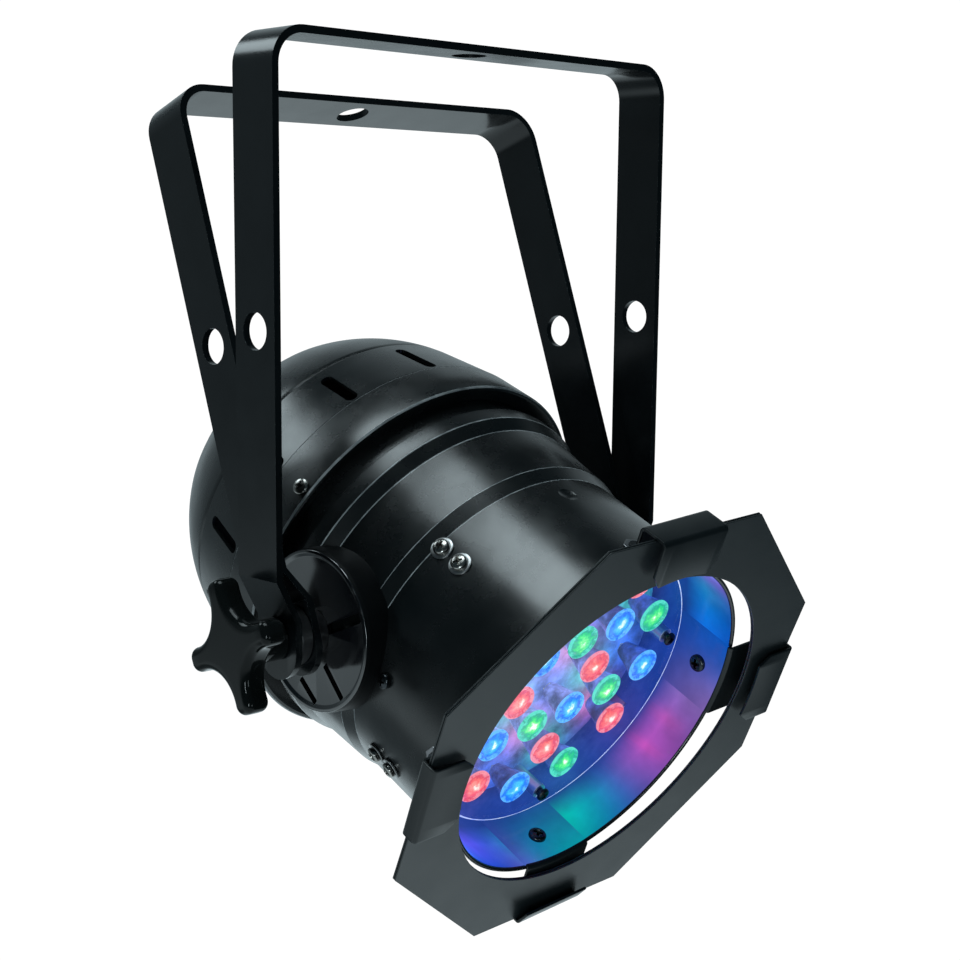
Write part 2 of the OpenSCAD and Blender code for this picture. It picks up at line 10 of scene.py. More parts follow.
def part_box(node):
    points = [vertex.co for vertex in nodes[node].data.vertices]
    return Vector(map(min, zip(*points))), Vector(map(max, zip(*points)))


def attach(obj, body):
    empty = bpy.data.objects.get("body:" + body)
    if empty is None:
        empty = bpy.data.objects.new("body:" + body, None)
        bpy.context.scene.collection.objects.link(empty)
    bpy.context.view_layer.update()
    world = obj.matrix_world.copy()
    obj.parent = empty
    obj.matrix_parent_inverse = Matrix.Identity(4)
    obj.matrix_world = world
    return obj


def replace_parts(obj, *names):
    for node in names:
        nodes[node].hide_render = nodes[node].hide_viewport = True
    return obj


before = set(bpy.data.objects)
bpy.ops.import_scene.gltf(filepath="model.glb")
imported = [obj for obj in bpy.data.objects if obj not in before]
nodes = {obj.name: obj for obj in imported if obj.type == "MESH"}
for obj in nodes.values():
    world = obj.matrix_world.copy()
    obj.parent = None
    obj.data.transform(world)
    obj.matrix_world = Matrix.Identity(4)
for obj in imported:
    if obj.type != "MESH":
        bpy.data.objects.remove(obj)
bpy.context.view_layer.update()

MM = 0.001
TAU = 2 * pi

# ------------ frames of reference

bolt_low, bolt_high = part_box("pivot_bolt_left")
PIVOT = Vector((0, (bolt_low.y + bolt_high.y) / 2, (bolt_low.z + bolt_high.z) / 2))
BEAM_TILT = radians(24.7)
SCALE = Matrix.Scale(MM, 4)
# Millimetres in the can's own axes: X right, Y up across the beam, Z along the beam
CAN = Matrix.Translation(PIVOT) @ Matrix.Rotation(pi / 2 + BEAM_TILT, 4, "X") @ SCALE
TO_CAN = CAN.inverted()
FLIP = Matrix.Rotation(pi, 4, "X")
HERE = Matrix.Identity(4)


def on_circle(radius, angle, centre=(0, 0)):
    return centre[0] + radius * cos(angle), centre[1] + radius * sin(angle)


def side_frame(side):
    """Millimetres with Z pointing out of the can's side, -1 for left and 1 for right."""
    return Matrix.Translation(PIVOT) @ Matrix.Rotation(side * pi / 2, 4, "Y") @ SCALE


def radial_frame(angle, s, r):
    """Millimetres with Z pointing radially out of the can, from radius r."""
    turn = Matrix.Rotation(radians(angle), 4, "Z")
    out = Matrix.Rotation(pi / 2, 4, "Y")
    return CAN @ turn @ Matrix.Translation((0, 0, s)) @ out @ Matrix.Translation((0, 0, r))


def face_frame(angle, s, r):
    """Millimetres with Z along the beam, at an angle and radius on the plane at s."""
    return CAN @ Matrix.Translation((*on_circle(r, radians(angle)), s))


# ------------ dimensions, in millimetres
# R is a radius about the beam, S a place along it. Corners and DOME_CENTRE are (radius, place); in HOUSING_S,
# BAND_R and DOME_S the front end comes first. Hub, knob and neck lie about the pivot, and out along it.

WALL = 1.2
BARREL_R = 61.9
RIM_S = 72.7
RIM_BEAD = 0.8
BEAD_1 = ((61.9, 18.9), (63.6, 13.5))
BEAD_2 = ((65.06, -8.8), (67.5, -13.8))
GROOVE = ((67.5, -20.0), (66.0, -20.6))
BARREL_END = -37.0
DENT_ANGLE, DENT_S, DENT_R, DENT_OUT = 91.7, 27.6, 8.0, 7.2
HOUSING_R = 72.4
HOUSING_S = (-27.0, -44.0)
BAND_R = (71.3, 66.5)
DOME_S = (-69.6, -100.0)
DOME_R = 75.4
DOME_CENTRE = (-6.86, -52.26)
SEAT_R = 44.5
VENTS = 13
VENT_FIRST = 94.2
VENT_S, VENT_SIZE = -54.8, (19.8, 4.6)
HUB_BACK, HUB_FACE, HUB_RIM, HUB_R = 66.7, 67.9, 68.6, 26.9
# Slots in the hub's face: both ends as (depth, height) from the pivot, and the width
HUB_SLOTS = (((-13.8, -20.4), (-5.0, -10.6), 2.4), ((-0.2, -24.4), (7.6, -17.4), 2.4),
             ((-23.0, 8.3), (-6.4, 1.4), 3.4))
LOOSE_R = 4.2
KNOB_HEAD, KNOB_EDGE = (94.5, 103.5), 2.6
KNOB_TURN = 23.0
LOBES, LOBE_R, LOBE_CORNER = 4, 22.0, 3.4
VALLEY_AT, VALLEY_R = 24.4, 13.2
NECK_R, NECK_FROM = 7.0, 83.8
BORE_R = 4.03
# Angle on the left side, and the places of the two screws
SCREW_PAIRS = ((136.8, 21.0, 30.2), (210.4, 30.4, 38.6))
SIDE_ANGLE, SIDE_S = 179.4, 30.9
JOINT_ANGLES, JOINT_S = (150.0, 30.0, 270.0), -31.0
FRAME_TURN, FRAME_S, FRAME_LEAN, FRAME_SWING = 5.35, 78.2, 1.8, 1.2
CLIP_W, CLIP_T, CLIP_RADIAL, CLIP_PLAY, CLIP_BEND = 29.0, 1.0, 82.4, 3.0, 1.1
CLIP_ANGLES = {"right": 0, "top": 90, "left": 180, "bottom": 270}
CLIP_FROM_S, CLIP_SCREW_S, CLIP_SCREW_R = 47.0, 62.5, 59.6
# The flange's inner edge: an arc, cut off outside CORNER_Y from CORNER_R on at a slope
FLANGE_ARC_R, FLANGE_ARC_OUT = 61.0, 5.4
CORNER_Y, CORNER_R, CORNER_SLOPE = 11.0, 65.5, 4.5 / 3.5
LIP_R, LIP_START, LIP_FLARE = 75.6, 1.9, 0.9
RIM_GAP = 0.25
PLATE_S, PLATE_R, PLATE_T, PLATE_BEVEL = 53.4, 55.7, 2.0, 0.8
PLATE_SCREW_R, PLATE_SCREW_TURN = 50.3, 15.0
MODULE_TURN = -1.3
BOARD_S, BOARD_T, BOARD_R = 37.0, 1.6, 54.0
BOARD_TOP = BOARD_S + BOARD_T
LENS_S, COLLIMATOR_H, LENS_R, LENS_DOME_R = BOARD_TOP + 1, 11.0, 6.4, 5.2
LENS_TOP = LENS_S + COLLIMATOR_H
# Rings of lamps: radius, first angle, number, order of the colours
RINGS = ((17.2, 15, 6, (0, 1, 2)), (30.0, 45, 6, (2, 0, 1)), (44.5, 0, 12, (2, 1, 0)))
PANEL_S, PANEL_T = -100.0, 1.5
PANEL_SCREW_R = 47.4
COLOURS = ("red", "green", "blue")

# ------------ materials


def settle(thing, **values):
    """Sets some properties of a node, a modifier or another Blender item."""
    for key, value in values.items():
        setattr(thing, key, value)
    return thing


def feed(tree, node, inputs):
    """Fills a node's inputs: a socket is linked, a number or colour is stored."""
    for key, value in inputs.items():
        socket = node.inputs[key]
        if isinstance(value, bpy.types.NodeSocket):
            tree.links.new(value, socket)
        else:
            socket.default_value = (*value, 1) if socket.type == "RGBA" else value


def add(tree, kind, inputs=None, **values):
    """A node with its settings and then its inputs."""
    node = settle(tree.nodes.new("ShaderNode" + kind), **values)
    feed(tree, node, inputs or {})
    return node


def new_material(name):
    mat = bpy.data.materials.new(name)
    mat.use_nodes = True
    return mat, mat.node_tree, mat.node_tree.nodes["Principled BSDF"]


def noise(tree, scale, detail=2.0, roughness=0.5, stretch=None):
    place = add(tree, "TexCoord").outputs["Object"]
    if stretch:
        place = add(tree, "Mapping", {"Scale": stretch, "Vector": place}).outputs["Vector"]
    inputs = {"Scale": scale, "Detail": detail, "Roughness": roughness, "Vector": place}
    return add(tree, "TexNoise", inputs).outputs["Fac"]


def spread(tree, source, low, high, start=0.3, end=0.7):
    inputs = {"Value": source, "From Min": start, "From Max": end, "To Min": low, "To Max": high}
    return add(tree, "MapRange", inputs).outputs["Result"]


def calculate(tree, operation, a, b):
    return add(tree, "Math", {0: a, 1: b}, operation=operation).outputs["Value"]


def mix_colour(tree, factor, a, b, **values):
    inputs = {"Factor": factor, "A": a, "B": b}
    return add(tree, "Mix", inputs, data_type="RGBA", **values).outputs["Result"]


def stored_light(tree, attribute, factor):
    """The lamps' light stored at the vertices, times a factor."""
    light = add(tree, "VertexColor", layer_name=attribute).outputs["Color"]
    return add(tree, "VectorMath", {0: light, "Scale": factor}, operation="SCALE").outputs["Vector"]


def bump(tree, shader, *layers):
    """Chains bump layers, each as a height output, a strength and a distance in metres."""
    normal = {}
    for height, strength, distance in layers:
        inputs = {"Height": height, "Strength": strength, "Distance": distance, **normal}
        normal = {"Normal": add(tree, "Bump", inputs).outputs["Normal"]}
    feed(tree, shader, normal)


def surface(name, dark, light, rough, grain, metallic=0.0, wave=None, rub=None, specular=0.5, coat=0.0,
            stretch=None, mottling=60):
    """Paint, plastic or metal: mottled colour, uneven roughness, fine grain, rubbed edges.

    grain and wave are (scale, strength) of the fine and the slow bump, rub is (colour, amount).
    """
    mat, tree, shader = new_material(name)
    cloud = noise(tree, mottling, 4, 0.6, stretch)
    fine = noise(tree, grain[0], 3, 0.6, stretch)
    colour = mix_colour(tree, spread(tree, cloud, 0, 1), dark, light)
    if rub:
        pointed = add(tree, "NewGeometry").outputs["Pointiness"]
        colour = mix_colour(tree, spread(tree, pointed, 0, rub[1], 0.52, 0.62), colour, rub[0])
    feed(tree, shader, {"Base Color": colour, "Roughness": spread(tree, cloud, *rough), "Metallic": metallic,
                        "Specular IOR Level": specular, "Coat Weight": coat, "Coat Roughness": 0.12})
    layers = [(fine, grain[1], 0.0001)]
    if wave:
        layers.insert(0, (noise(tree, wave[0], 1, 0.4), wave[1], 0.001))
    bump(tree, shader, *layers)
    return mat


can_paint = surface("can_paint_black", (0.0022, 0.003, 0.0034), (0.0044, 0.0054, 0.0058), (0.22, 0.31),
                    (2600, 0.04), wave=(42, 0.6), specular=0.6)
# Lighter paint for the edges of the beads and the housing: a painted highlight where these edges catch the
# light.
painted_edge_highlight = surface("can_edge_painted_highlight", (0.1, 0.11, 0.115), (0.34, 0.36, 0.37), (0.18, 0.28),
                     (2600, 0.04), mottling=120)
yoke_paint = surface("yoke_paint_black", (0.002, 0.003, 0.0036), (0.0034, 0.0048, 0.0056), (0.18, 0.25),
                     (2200, 0.05), specular=0.36)
# Lighter paint on the yokes' rounded edges: a painted highlight where they catch the light.
yoke_edge_highlight = surface("yoke_edge_painted_highlight", (0.1, 0.11, 0.115), (0.3, 0.33, 0.34), (0.2, 0.3), (2200, 0.05),
                    mottling=90)
# A darker, duller copy of the hub's paint for its side wall: painted shade.
hub_wall_shade = surface("hub_wall_painted_shade", (0.0015, 0.002, 0.0024), (0.0025, 0.003, 0.0036), (0.4, 0.55),
                   (2400, 0.05), specular=0.1)
hub_paint = surface("hub_paint_black", (0.0026, 0.003, 0.004), (0.0045, 0.005, 0.0065), (0.1, 0.16),
                    (2400, 0.04), rub=((0.12, 0.12, 0.12), 0.3), specular=1.0, coat=0.2)
frame_paint = surface("frame_paint_satin", (0.007, 0.01, 0.0115), (0.0105, 0.014, 0.0155), (0.3, 0.38),
                      (3200, 0.14))
clip_paint = surface("clip_paint_satin", (0.0036, 0.0056, 0.0066), (0.006, 0.0084, 0.0096), (0.28, 0.36),
                     (3000, 0.12), specular=0.36)
knob_plastic = surface("knob_plastic_gloss", (0.003, 0.004, 0.004), (0.005, 0.006, 0.006), (0.07, 0.13),
                       (900, 0.03), specular=0.13)
nylon = surface("nylon_black", (0.01, 0.01, 0.011), (0.016, 0.016, 0.017), (0.3, 0.42), (1800, 0.08))
bolt_steel = surface("bolt_steel_dark", (0.2, 0.2, 0.21), (0.32, 0.32, 0.33), (0.26, 0.4), (2600, 0.1), 1.0)
bright_screw = surface("screw_nickel", (0.22, 0.21, 0.2), (0.36, 0.35, 0.33), (0.16, 0.28), (3200, 0.08), 1.0)
washer_metal = surface("washer_zinc", (0.24, 0.24, 0.24), (0.38, 0.38, 0.38), (0.24, 0.36), (2600, 0.08), 1.0)
# A dark metal for the side screws beside the hubs and for the screws inside the can.
dark_screw = surface("screw_dark_metal", (0.03, 0.034, 0.038), (0.055, 0.06, 0.065), (0.22, 0.36),
                     (3200, 0.08), 1.0)
spacer_metal = surface("spacer_aluminium", (0.66, 0.66, 0.67), (0.78, 0.78, 0.79), (0.26, 0.4), (2600, 0.08),
                       1.0)
sink_metal = surface("heat_sink_anodised", (0.42, 0.43, 0.45), (0.52, 0.53, 0.55), (0.38, 0.52), (2200, 0.1),
                     1.0, stretch=(1, 6, 1))
case_metal = surface("supply_galvanised", (0.52, 0.54, 0.56), (0.68, 0.7, 0.72), (0.3, 0.52), (700, 0.06),
                     1.0, mottling=160)
board_green = surface("board_green_mask", (0.01, 0.1, 0.035), (0.018, 0.15, 0.055), (0.22, 0.36), (1500, 0.1))
panel_paint = surface("panel_paint_black", (0.012, 0.013, 0.015), (0.018, 0.019, 0.021), (0.3, 0.42),
                      (2800, 0.12))
socket_plastic = surface("socket_plastic_black", (0.014, 0.015, 0.016), (0.022, 0.023, 0.024), (0.28, 0.42),
                         (2000, 0.1))
button_plastic = surface("button_plastic_grey", (0.045, 0.048, 0.052), (0.065, 0.068, 0.072), (0.34, 0.48),
                         (1800, 0.1))
pin_metal = surface("pin_gold", (0.7, 0.5, 0.22), (0.82, 0.62, 0.3), (0.16, 0.28), (2600, 0.05), 1.0)
tab_metal = surface("tab_steel", (0.42, 0.42, 0.43), (0.55, 0.55, 0.56), (0.24, 0.38), (2600, 0.08), 1.0)
window_red = surface("display_window_red", (0.03, 0.003, 0.003), (0.045, 0.004, 0.004), (0.06, 0.14),
                     (1200, 0.02), coat=0.4)
emitter_lit = surface("emitter_phosphor", (0.8, 0.74, 0.42), (0.9, 0.86, 0.56), (0.2, 0.4), (2000, 0.1))

# ------------ light of the lamps


def each_lamp():
    """Colour name and place of every lamp, in can millimetres."""
    for radius, first, count, order in RINGS:
        for i in range(count):
            angle = radians(MODULE_TURN + first + 360 / count * i)
            yield COLOURS[order[i % 3]], *on_circle(radius, angle)


LAMPS = list(each_lamp())
BOARD_HUES = {"red": (1.0, 0.16, 0.1), "green": (0.05, 1.0, 0.28), "blue": (0.06, 0.24, 1.0)}
BOARD_PALE, BOARD_DEEP = (0.46, 0.54, 1.0), (0.01, 0.05, 0.34)
# How far the pale haze reaches up and down, and how far a lamp's colour reaches on the board
HAZE_REACH, LAMP_REACH = 32, 6.5
WALL_HUES = {"red": (1.0, 0.04, 0.22), "green": (0.0, 0.8, 0.42), "blue": (0.03, 0.22, 1.0)}
WALL_HAZE, WALL_FADE = (0.0, 0.09, 0.46), 60
# Each lamp's share on the wall: how much colour is kept, and the squared distance at which it is 1
WALL_LAMPS, WALL_GREY, LAMP_D2 = 0.16, 0.9, 560
# Pools of light on the inner wall: angle from the right clip, spread in degrees, place on the axis and
# spread along it in millimetres, colour.
WALL_POOLS = (
    (-11, 9, 62, 30, (0.22, 0.05, 0)), (-33, 10, 62, 26, (0.34, 0, 0.06)), (-25, 2, 56.5, 1.8, (1, 0, 0)),
    (-37, 1.5, 57.5, 1.4, (0.8, 0, 0)), (-78, 11, 58, 16, (0, 0.42, 0)), (-94, 8, 60, 9, (0, 0.24, 0)),
    (-104, 5, 68, 5, (0.1, 0, 0.1)), (-128, 14, 62, 30, (0, 0, 0.45)), (14, 10, 60, 16, (0, 0.03, 0.34)),
    (36, 6, 60, 9, (0, 0.1, 0)), (48, 8, 68, 6, (0.2, 0, 0.1)), (75, 12, 60, 20, (0, 0.3, 0)),
    (108, 13, 62, 24, (0.3, 0, 0.05)), (140, 12, 60, 20, (0, 0.05, 0.4)), (172, 11, 62, 18, (0.28, 0, 0.06)),
    (205, 12, 60, 18, (0, 0.34, 0)),
)


def add_light(total, colour, amount):
    for k in range(3):
        total[k] += amount * colour[k]


def board_glow(p, strength=1.0, lamp_share=0.46):
    """Light scattered on the module's board: a pale haze, deeper to the right, the top and the bottom,
    and coloured round each lamp."""
    far = min(1.0, max(0.0, 0.5 + (p.x * 0.92 + p.y * 0.1) / (1.6 * BOARD_R)))
    far = 1 - (1 - far) * exp(-(p.y / HAZE_REACH) ** 2)
    glow = [0.0, 0.0, 0.0]
    add_light(glow, BOARD_PALE, 1 - far)
    add_light(glow, BOARD_DEEP, far)
    for name, x, y in LAMPS:
        near = exp(-((p.x - x) ** 2 + (p.y - y) ** 2) / (2 * LAMP_REACH ** 2))
        add_light(glow, BOARD_HUES[name], lamp_share * near)
    return [strength * c for c in glow]


def wall_glow(p):
    """Light on the can's inner wall: a blue haze, the colour of the nearest lamps and the pools."""
    if p.z <= BOARD_TOP:
        return 0, 0, 0
    if p.z < PLATE_S:
        return board_glow(p, 0.8)
    r = hypot(p.x, p.y)
    lamps = [0.0, 0.0, 0.0]
    for name, x, y in LAMPS:
        dx, dy, ds = p.x - x, p.y - y, p.z - BOARD_S - COLLIMATOR_H
        d2 = dx * dx + dy * dy + ds * ds
        leaving = max(0.0, ds) / sqrt(d2)
        landing = max(0.0, dx * p.x + dy * p.y) / (r * sqrt(d2))
        add_light(lamps, WALL_HUES[name], leaving * landing * (LAMP_D2 / d2) ** 1.6)
    turn = degrees(atan2(p.y, p.x)) - FRAME_TURN
    glow = list(WALL_HAZE)
    for angle, spread_a, place, spread_s, colour in WALL_POOLS:
        away = (turn - angle + 180) % 360 - 180
        near = exp(-(away / spread_a) ** 2 / 2 - ((p.z - place) / spread_s) ** 2 / 2)
        add_light(glow, colour, near)
    grey = WALL_GREY * min(lamps)
    add_light(glow, [c - grey for c in lamps], WALL_LAMPS)
    fade = exp(-(p.z - PLATE_S) / WALL_FADE)
    return [fade * c for c in glow]


def store_colours(obj, name, colour_of):
    """A colour for each vertex, from its place in can millimetres."""
    layer = obj.data.color_attributes.new(name, "FLOAT_COLOR", "POINT")
    for i, vertex in enumerate(obj.data.vertices):
        layer.data[i].color = (*colour_of(TO_CAN @ vertex.co), 1.0)


def glow_material(name, attribute, rough, base, mottle):
    """A dark glossy surface that carries the lamps' light; mottle is (scale, darkest, brightest)."""
    mat, tree, shader = new_material(name)
    cloud = noise(tree, mottle[0], 4, 0.65)
    feed(tree, shader, {
        "Base Color": mix_colour(tree, cloud, base, [1.3 * b for b in base]),
        "Roughness": spread(tree, cloud, *rough), "Specular IOR Level": 0.04, "Emission Strength": 1.0,
        "Emission Color": stored_light(tree, attribute, spread(tree, cloud, *mottle[1:])),
    })
    bump(tree, shader, (noise(tree, 2600, 2), 0.08, 0.0001))
    return mat


# The can's inner wall and the clips' plates: dark paint with the lamps' light painted in as emission.
inner_lamp_glow = glow_material("can_inside_painted_lamp_glow", "wall_glow", (0.1, 0.18), (0.002, 0.003, 0.004),
                            (34, 0.75, 1.2))
board_lit = glow_material("board_white_lit", "board_glow", (0.3, 0.5), (0.03, 0.03, 0.04), (95, 0.3, 1.5))

# Colours of a lit lens from its centre out to its edge, at these shares of its radius
LENS_STOPS = (0.05, 0.24, 0.46, 0.76, 0.96)
LENS_RAMPS = {
    "red": ((1, 0.86, 0.72), (1, 0.32, 0.24), (1, 0.15, 0.12), (0.7, 0.04, 0.07), (0.85, 0.24, 0.26)),
    "green": ((0.9, 1, 0.82), (0.16, 0.95, 0.2), (0.02, 0.7, 0.16), (0, 0.36, 0.2), (0.08, 0.68, 0.46)),
    "blue": ((0.86, 1, 1), (0.08, 0.62, 1), (0.02, 0.36, 1), (0, 0.12, 0.75), (0.1, 0.46, 1)),
}


def haze_colour(tree):
    """The mottled haze between the lamps: the stored light, broken up by two scales of cloud."""
    cloud = spread(tree, noise(tree, 85, 4, 0.7), 0.28, 1.45, 0.38, 0.62)
    speck = spread(tree, noise(tree, 330, 3, 0.6), 0.55, 1.35, 0.36, 0.64)
    return stored_light(tree, "board_glow", calculate(tree, "MULTIPLY", cloud, speck))


def lens_material(name):
    """A clear moulded lens with its lamp lit: rings of light on the face, the haze around it in its flank."""
    mat, tree, shader = new_material("lens_lit_" + name)
    place = add(tree, "Attribute", attribute_name="lens_radius").outputs["Fac"]
    face = add(tree, "Attribute", attribute_name="lens_face").outputs["Fac"]
    swirl = noise(tree, 420, 3, 0.7)
    place = calculate(tree, "ADD", place, spread(tree, swirl, -0.26, 0.26))
    ramp = add(tree, "ValToRGB", {"Fac": place})
    stops = ramp.color_ramp.elements
    while len(stops) < len(LENS_STOPS):
        stops.new(0.5)
    for stop, position, colour in zip(stops, LENS_STOPS, LENS_RAMPS[name]):
        stop.position = position
        stop.color = (*colour, 1)
    feed(tree, shader, {
        "Base Color": mix_colour(tree, swirl, (0.05, 0.05, 0.06), (0.09, 0.09, 0.1)),
        "Roughness": spread(tree, swirl, 0.06, 0.16),
        "Emission Color": mix_colour(tree, face, haze_colour(tree), ramp.outputs["Color"]),
        "Emission Strength": 1.15,
    })
    bump(tree, shader, (swirl, 0.2, 0.0003))
    return mat


def plate_material():
    """Clear plate: sees through, with the lamps' light painted in as a faint uneven glow."""
    mat, tree, shader = new_material("plate_clear")
    haze = noise(tree, 70, 4, 0.7)
    feed(tree, shader, {
        "Base Color": mix_colour(tree, haze, (0.86, 0.88, 1.0), (1.0, 1.0, 1.0)),
        "Roughness": spread(tree, haze, 0.0, 0.05), "Transmission Weight": 1.0, "IOR": 1.07,
        "Emission Color": haze_colour(tree), "Emission Strength": 0.06,
    })
    bump(tree, shader, (haze, 0.15, 0.0006))
    return mat


def plate_edge_material():
    """The plate's rim, where the lamps' light leaves it."""
    mat, tree, shader = new_material("plate_edge_lit")
    grain = noise(tree, 260, 3, 0.7)
    glow = mix_colour(tree, spread(tree, grain, 0, 1), (0.2, 0.3, 0.95), (0.75, 0.86, 1.0))
    rough = spread(tree, grain, 0.2, 0.5)
    feed(tree, shader, {"Emission Color": glow, "Emission Strength": 0.75, "Roughness": rough})
    return mat


def bar_material(name, dark, light, glow):
    """A bar of the display's digits."""
    mat = surface(name, dark, light, (0.15, 0.28), (1800, 0.03))
    shader = mat.node_tree.nodes["Principled BSDF"]
    feed(mat.node_tree, shader, {"Emission Color": (1.0, 0.05, 0.03), "Emission Strength": glow})
    return mat


lens_lit = {name: lens_material(name) for name in COLOURS}
plate_clear = plate_material()
plate_edge = plate_edge_material()
bar_lit = bar_material("display_bar_lit", (0.3, 0.01, 0.01), (0.4, 0.02, 0.02), 0.85)
bar_dark = bar_material("display_bar_dark", (0.06, 0.006, 0.006), (0.08, 0.009, 0.009), 0.02)

# ------------ mesh helpers


def place_object(name, data):
    """An object in the scene."""
    obj = bpy.data.objects.new(name, data)
    bpy.context.scene.collection.objects.link(obj)
    return obj


def new_object(name, verts, faces, matrix):
    """A plain mesh in the scene, from points that the matrix moves into place."""
    mesh = bpy.data.meshes.new(name)
    mesh.from_pydata([matrix @ Vector(v) for v in verts], [], faces)
    return place_object(name, mesh)


def make(name, verts, faces, matrix, body, slot, mats, sharp=30.0):
    """A mesh piece from millimetre points, smooth except at edges sharper than the angle."""
    obj = new_object(name, verts, faces, matrix)
    for mat in mats if isinstance(mats, (list, tuple)) else [mats]:
        obj.data.materials.append(mat)
    tidy_mesh(obj.data, sharp)
    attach(obj, body)
    return obj


def weld(mesh):
    """Welds doubles and turns the faces outwards."""
    bm = bmesh.new()
    bm.from_mesh(mesh)
    bmesh.ops.remove_doubles(bm, verts=bm.verts, dist=1e-7)
    bmesh.ops.recalc_face_normals(bm, faces=bm.faces)
    bm.to_mesh(mesh)
    bm.free()


def tidy_mesh(mesh, sharp):
    """Welds the mesh and sets which edges stay sharp."""
    weld(mesh)
    mesh.polygons.foreach_set("use_smooth", [True] * len(mesh.polygons))
    mesh.set_sharp_from_angle(angle=radians(sharp))
    mesh.update()


def grid_faces(rows, count, closed=True, wrapped=False):
    """Faces between rows of points. Closed rows are rings, wrapped ones come back to the first row."""
    faces = []
    for j in range(rows if wrapped else rows - 1):
        low, high = j * count, (j + 1) % rows * count
        for i in range(count if closed else count - 1):
            n = (i + 1) % count
            faces.append((low + i, low + n, high + n, high + i))
    return faces


def join(verts, faces, more_verts, more_faces):
    """Adds a part's vertices and faces to a piece."""
    base = len(verts)
    verts += more_verts
    faces += [tuple(base + i for i in face) for face in more_faces]


def ring(radius, steps, z):
    return [(*on_circle(radius, TAU * i / steps), z) for i in range(steps)]


def ring_points(profile, steps, close=True):
    """Vertices and faces of a profile of (radius, height) turned about Z."""
    verts = []
    for i in range(steps):
        c, s = cos(TAU * i / steps), sin(TAU * i / steps)
        verts += [(r * c, r * s, z) for r, z in profile]
    return verts, grid_faces(steps, len(profile), close, wrapped=True)


def lathe(name, profile, matrix, body, slot, mats, steps=256, sharp=30.0):
    verts, faces = ring_points(profile, steps)
    return make(name, verts, faces, matrix, body, slot, mats, sharp)


def turn_between(start, end):
    """The short way round from one angle to another."""
    return (end - start + pi) % TAU - pi


def rounded(points, radii, steps=6):
    """A closed outline with each corner turned into an arc of its radius."""
    out = []
    for i, point in enumerate(points):
        radius = radii[i] if isinstance(radii, (list, tuple)) else radii
        a, b, c = Vector(points[i - 1]), Vector(point), Vector(points[(i + 1) % len(points)])
        u, v = a - b, c - b
        if radius <= 0 or u.length < 1e-6 or v.length < 1e-6:
            out.append(tuple(b))
            continue
        u.normalize()
        v.normalize()
        half = acos(max(-1.0, min(1.0, u.dot(v)))) / 2
        if half > pi / 2 - 0.01 or half < 0.01:
            out.append(tuple(b))
            continue
        reach = min(radius / tan(half), 0.48 * (a - b).length, 0.48 * (c - b).length)
        radius = reach * tan(half)
        start, end = b + u * reach, b + v * reach
        centre = b + (u + v).normalized() * (radius / sin(half))
        first = atan2(start.y - centre.y, start.x - centre.x)
        turn = turn_between(first, atan2(end.y - centre.y, end.x - centre.x))
        out += [on_circle(radius, first + turn * k / steps, centre) for k in range(steps + 1)]
    return out


def prism(outline, low, high):
    """Vertices and faces of a closed outline pulled from one height to another."""
    count = len(outline)
    verts = [(x, y, low) for x, y in outline] + [(x, y, high) for x, y in outline]
    return verts, [tuple(range(count)), tuple(range(count, 2 * count)), *grid_faces(2, count)]


def slot_outline(length, width, steps=12):
    """A slot with round ends."""
    half = (length - width) / 2
    points = []
    for end in (1, -1):
        for k in range(steps + 1):
            a = -pi / 2 + pi * k / steps
            points.append((end * (half + width / 2 * cos(a)), end * width / 2 * sin(a)))
    return points


def cutter(name, verts, faces, matrix):
    """A closed mesh to cut with, or to be cut and copied."""
    obj = new_object(name, verts, faces, matrix)
    weld(obj.data)
    return obj


def modify(obj, name, kind, **settings):
    settle(obj.modifiers.new(name, kind), **settings)


def apply_modifiers(obj, sharp=30.0):
    """Turns the modifiers into mesh."""
    graph = bpy.context.evaluated_depsgraph_get()
    graph.update()
    mesh = bpy.data.meshes.new_from_object(obj.evaluated_get(graph))
    obj.modifiers.clear()
    obj.data = mesh
    tidy_mesh(mesh, sharp)


def cut(obj, tools, sharp=30.0, use_self=False):
    """Cuts the tools out of a piece and removes them."""
    for tool in tools:
        modify(obj, "cut", "BOOLEAN", operation="DIFFERENCE", solver="EXACT", use_self=use_self, object=tool)
    apply_modifiers(obj, sharp)
    for tool in tools:
        bpy.data.objects.remove(tool)


def paint_faces(obj, index, chosen):
    """Gives a material to the faces chosen by their centre, in can millimetres, and their normal."""
    for face in obj.data.polygons:
        if chosen(TO_CAN @ face.center, face.normal):
            face.material_index = index


def edges_of(node, width, mat, edge_mat=None):
    """Rounds the edges of a CAD node with modifiers and gives it a material."""
    obj = nodes[node]
    if not obj.material_slots:
        obj.data.materials.append(mat)
    for slot in obj.material_slots:
        slot.material = mat
    # The edges' own material, where given, is the yokes' painted highlight.
    edge_index = len(obj.data.materials) if edge_mat else -1
    if edge_mat:
        obj.data.materials.append(edge_mat)
    modify(obj, "weld", "WELD", merge_threshold=2e-6)
    modify(obj, "flat", "DECIMATE", decimate_type="DISSOLVE", angle_limit=radians(0.5), delimit={"NORMAL"})
    modify(obj, "bevel", "BEVEL", width=width * MM, segments=3, limit_method="ANGLE",
           angle_limit=radians(32), material=edge_index)
    modify(obj, "normal", "WEIGHTED_NORMAL", keep_sharp=True, weight=80)
    obj.data.polygons.foreach_set("use_smooth", [True] * len(obj.data.polygons))


# ------------ can shells


def paint_edge_highlights(obj, index, stations, r_min, reach=0.45):
    """Gives the narrow faces round an outer edge a lighter paint, a painted highlight, at each station along
    the beam.
    """
    for face in obj.data.polygons:
        points = [TO_CAN @ obj.data.vertices[i].co for i in face.vertices]
        places = [p.z for p in points]
        middle = sum(places) / len(places)
        r = min(hypot(p.x, p.y) for p in points)
        if max(places) - min(places) < 0.5 and r > r_min and any(abs(middle - s) < reach for s in stations):
            face.material_index = index


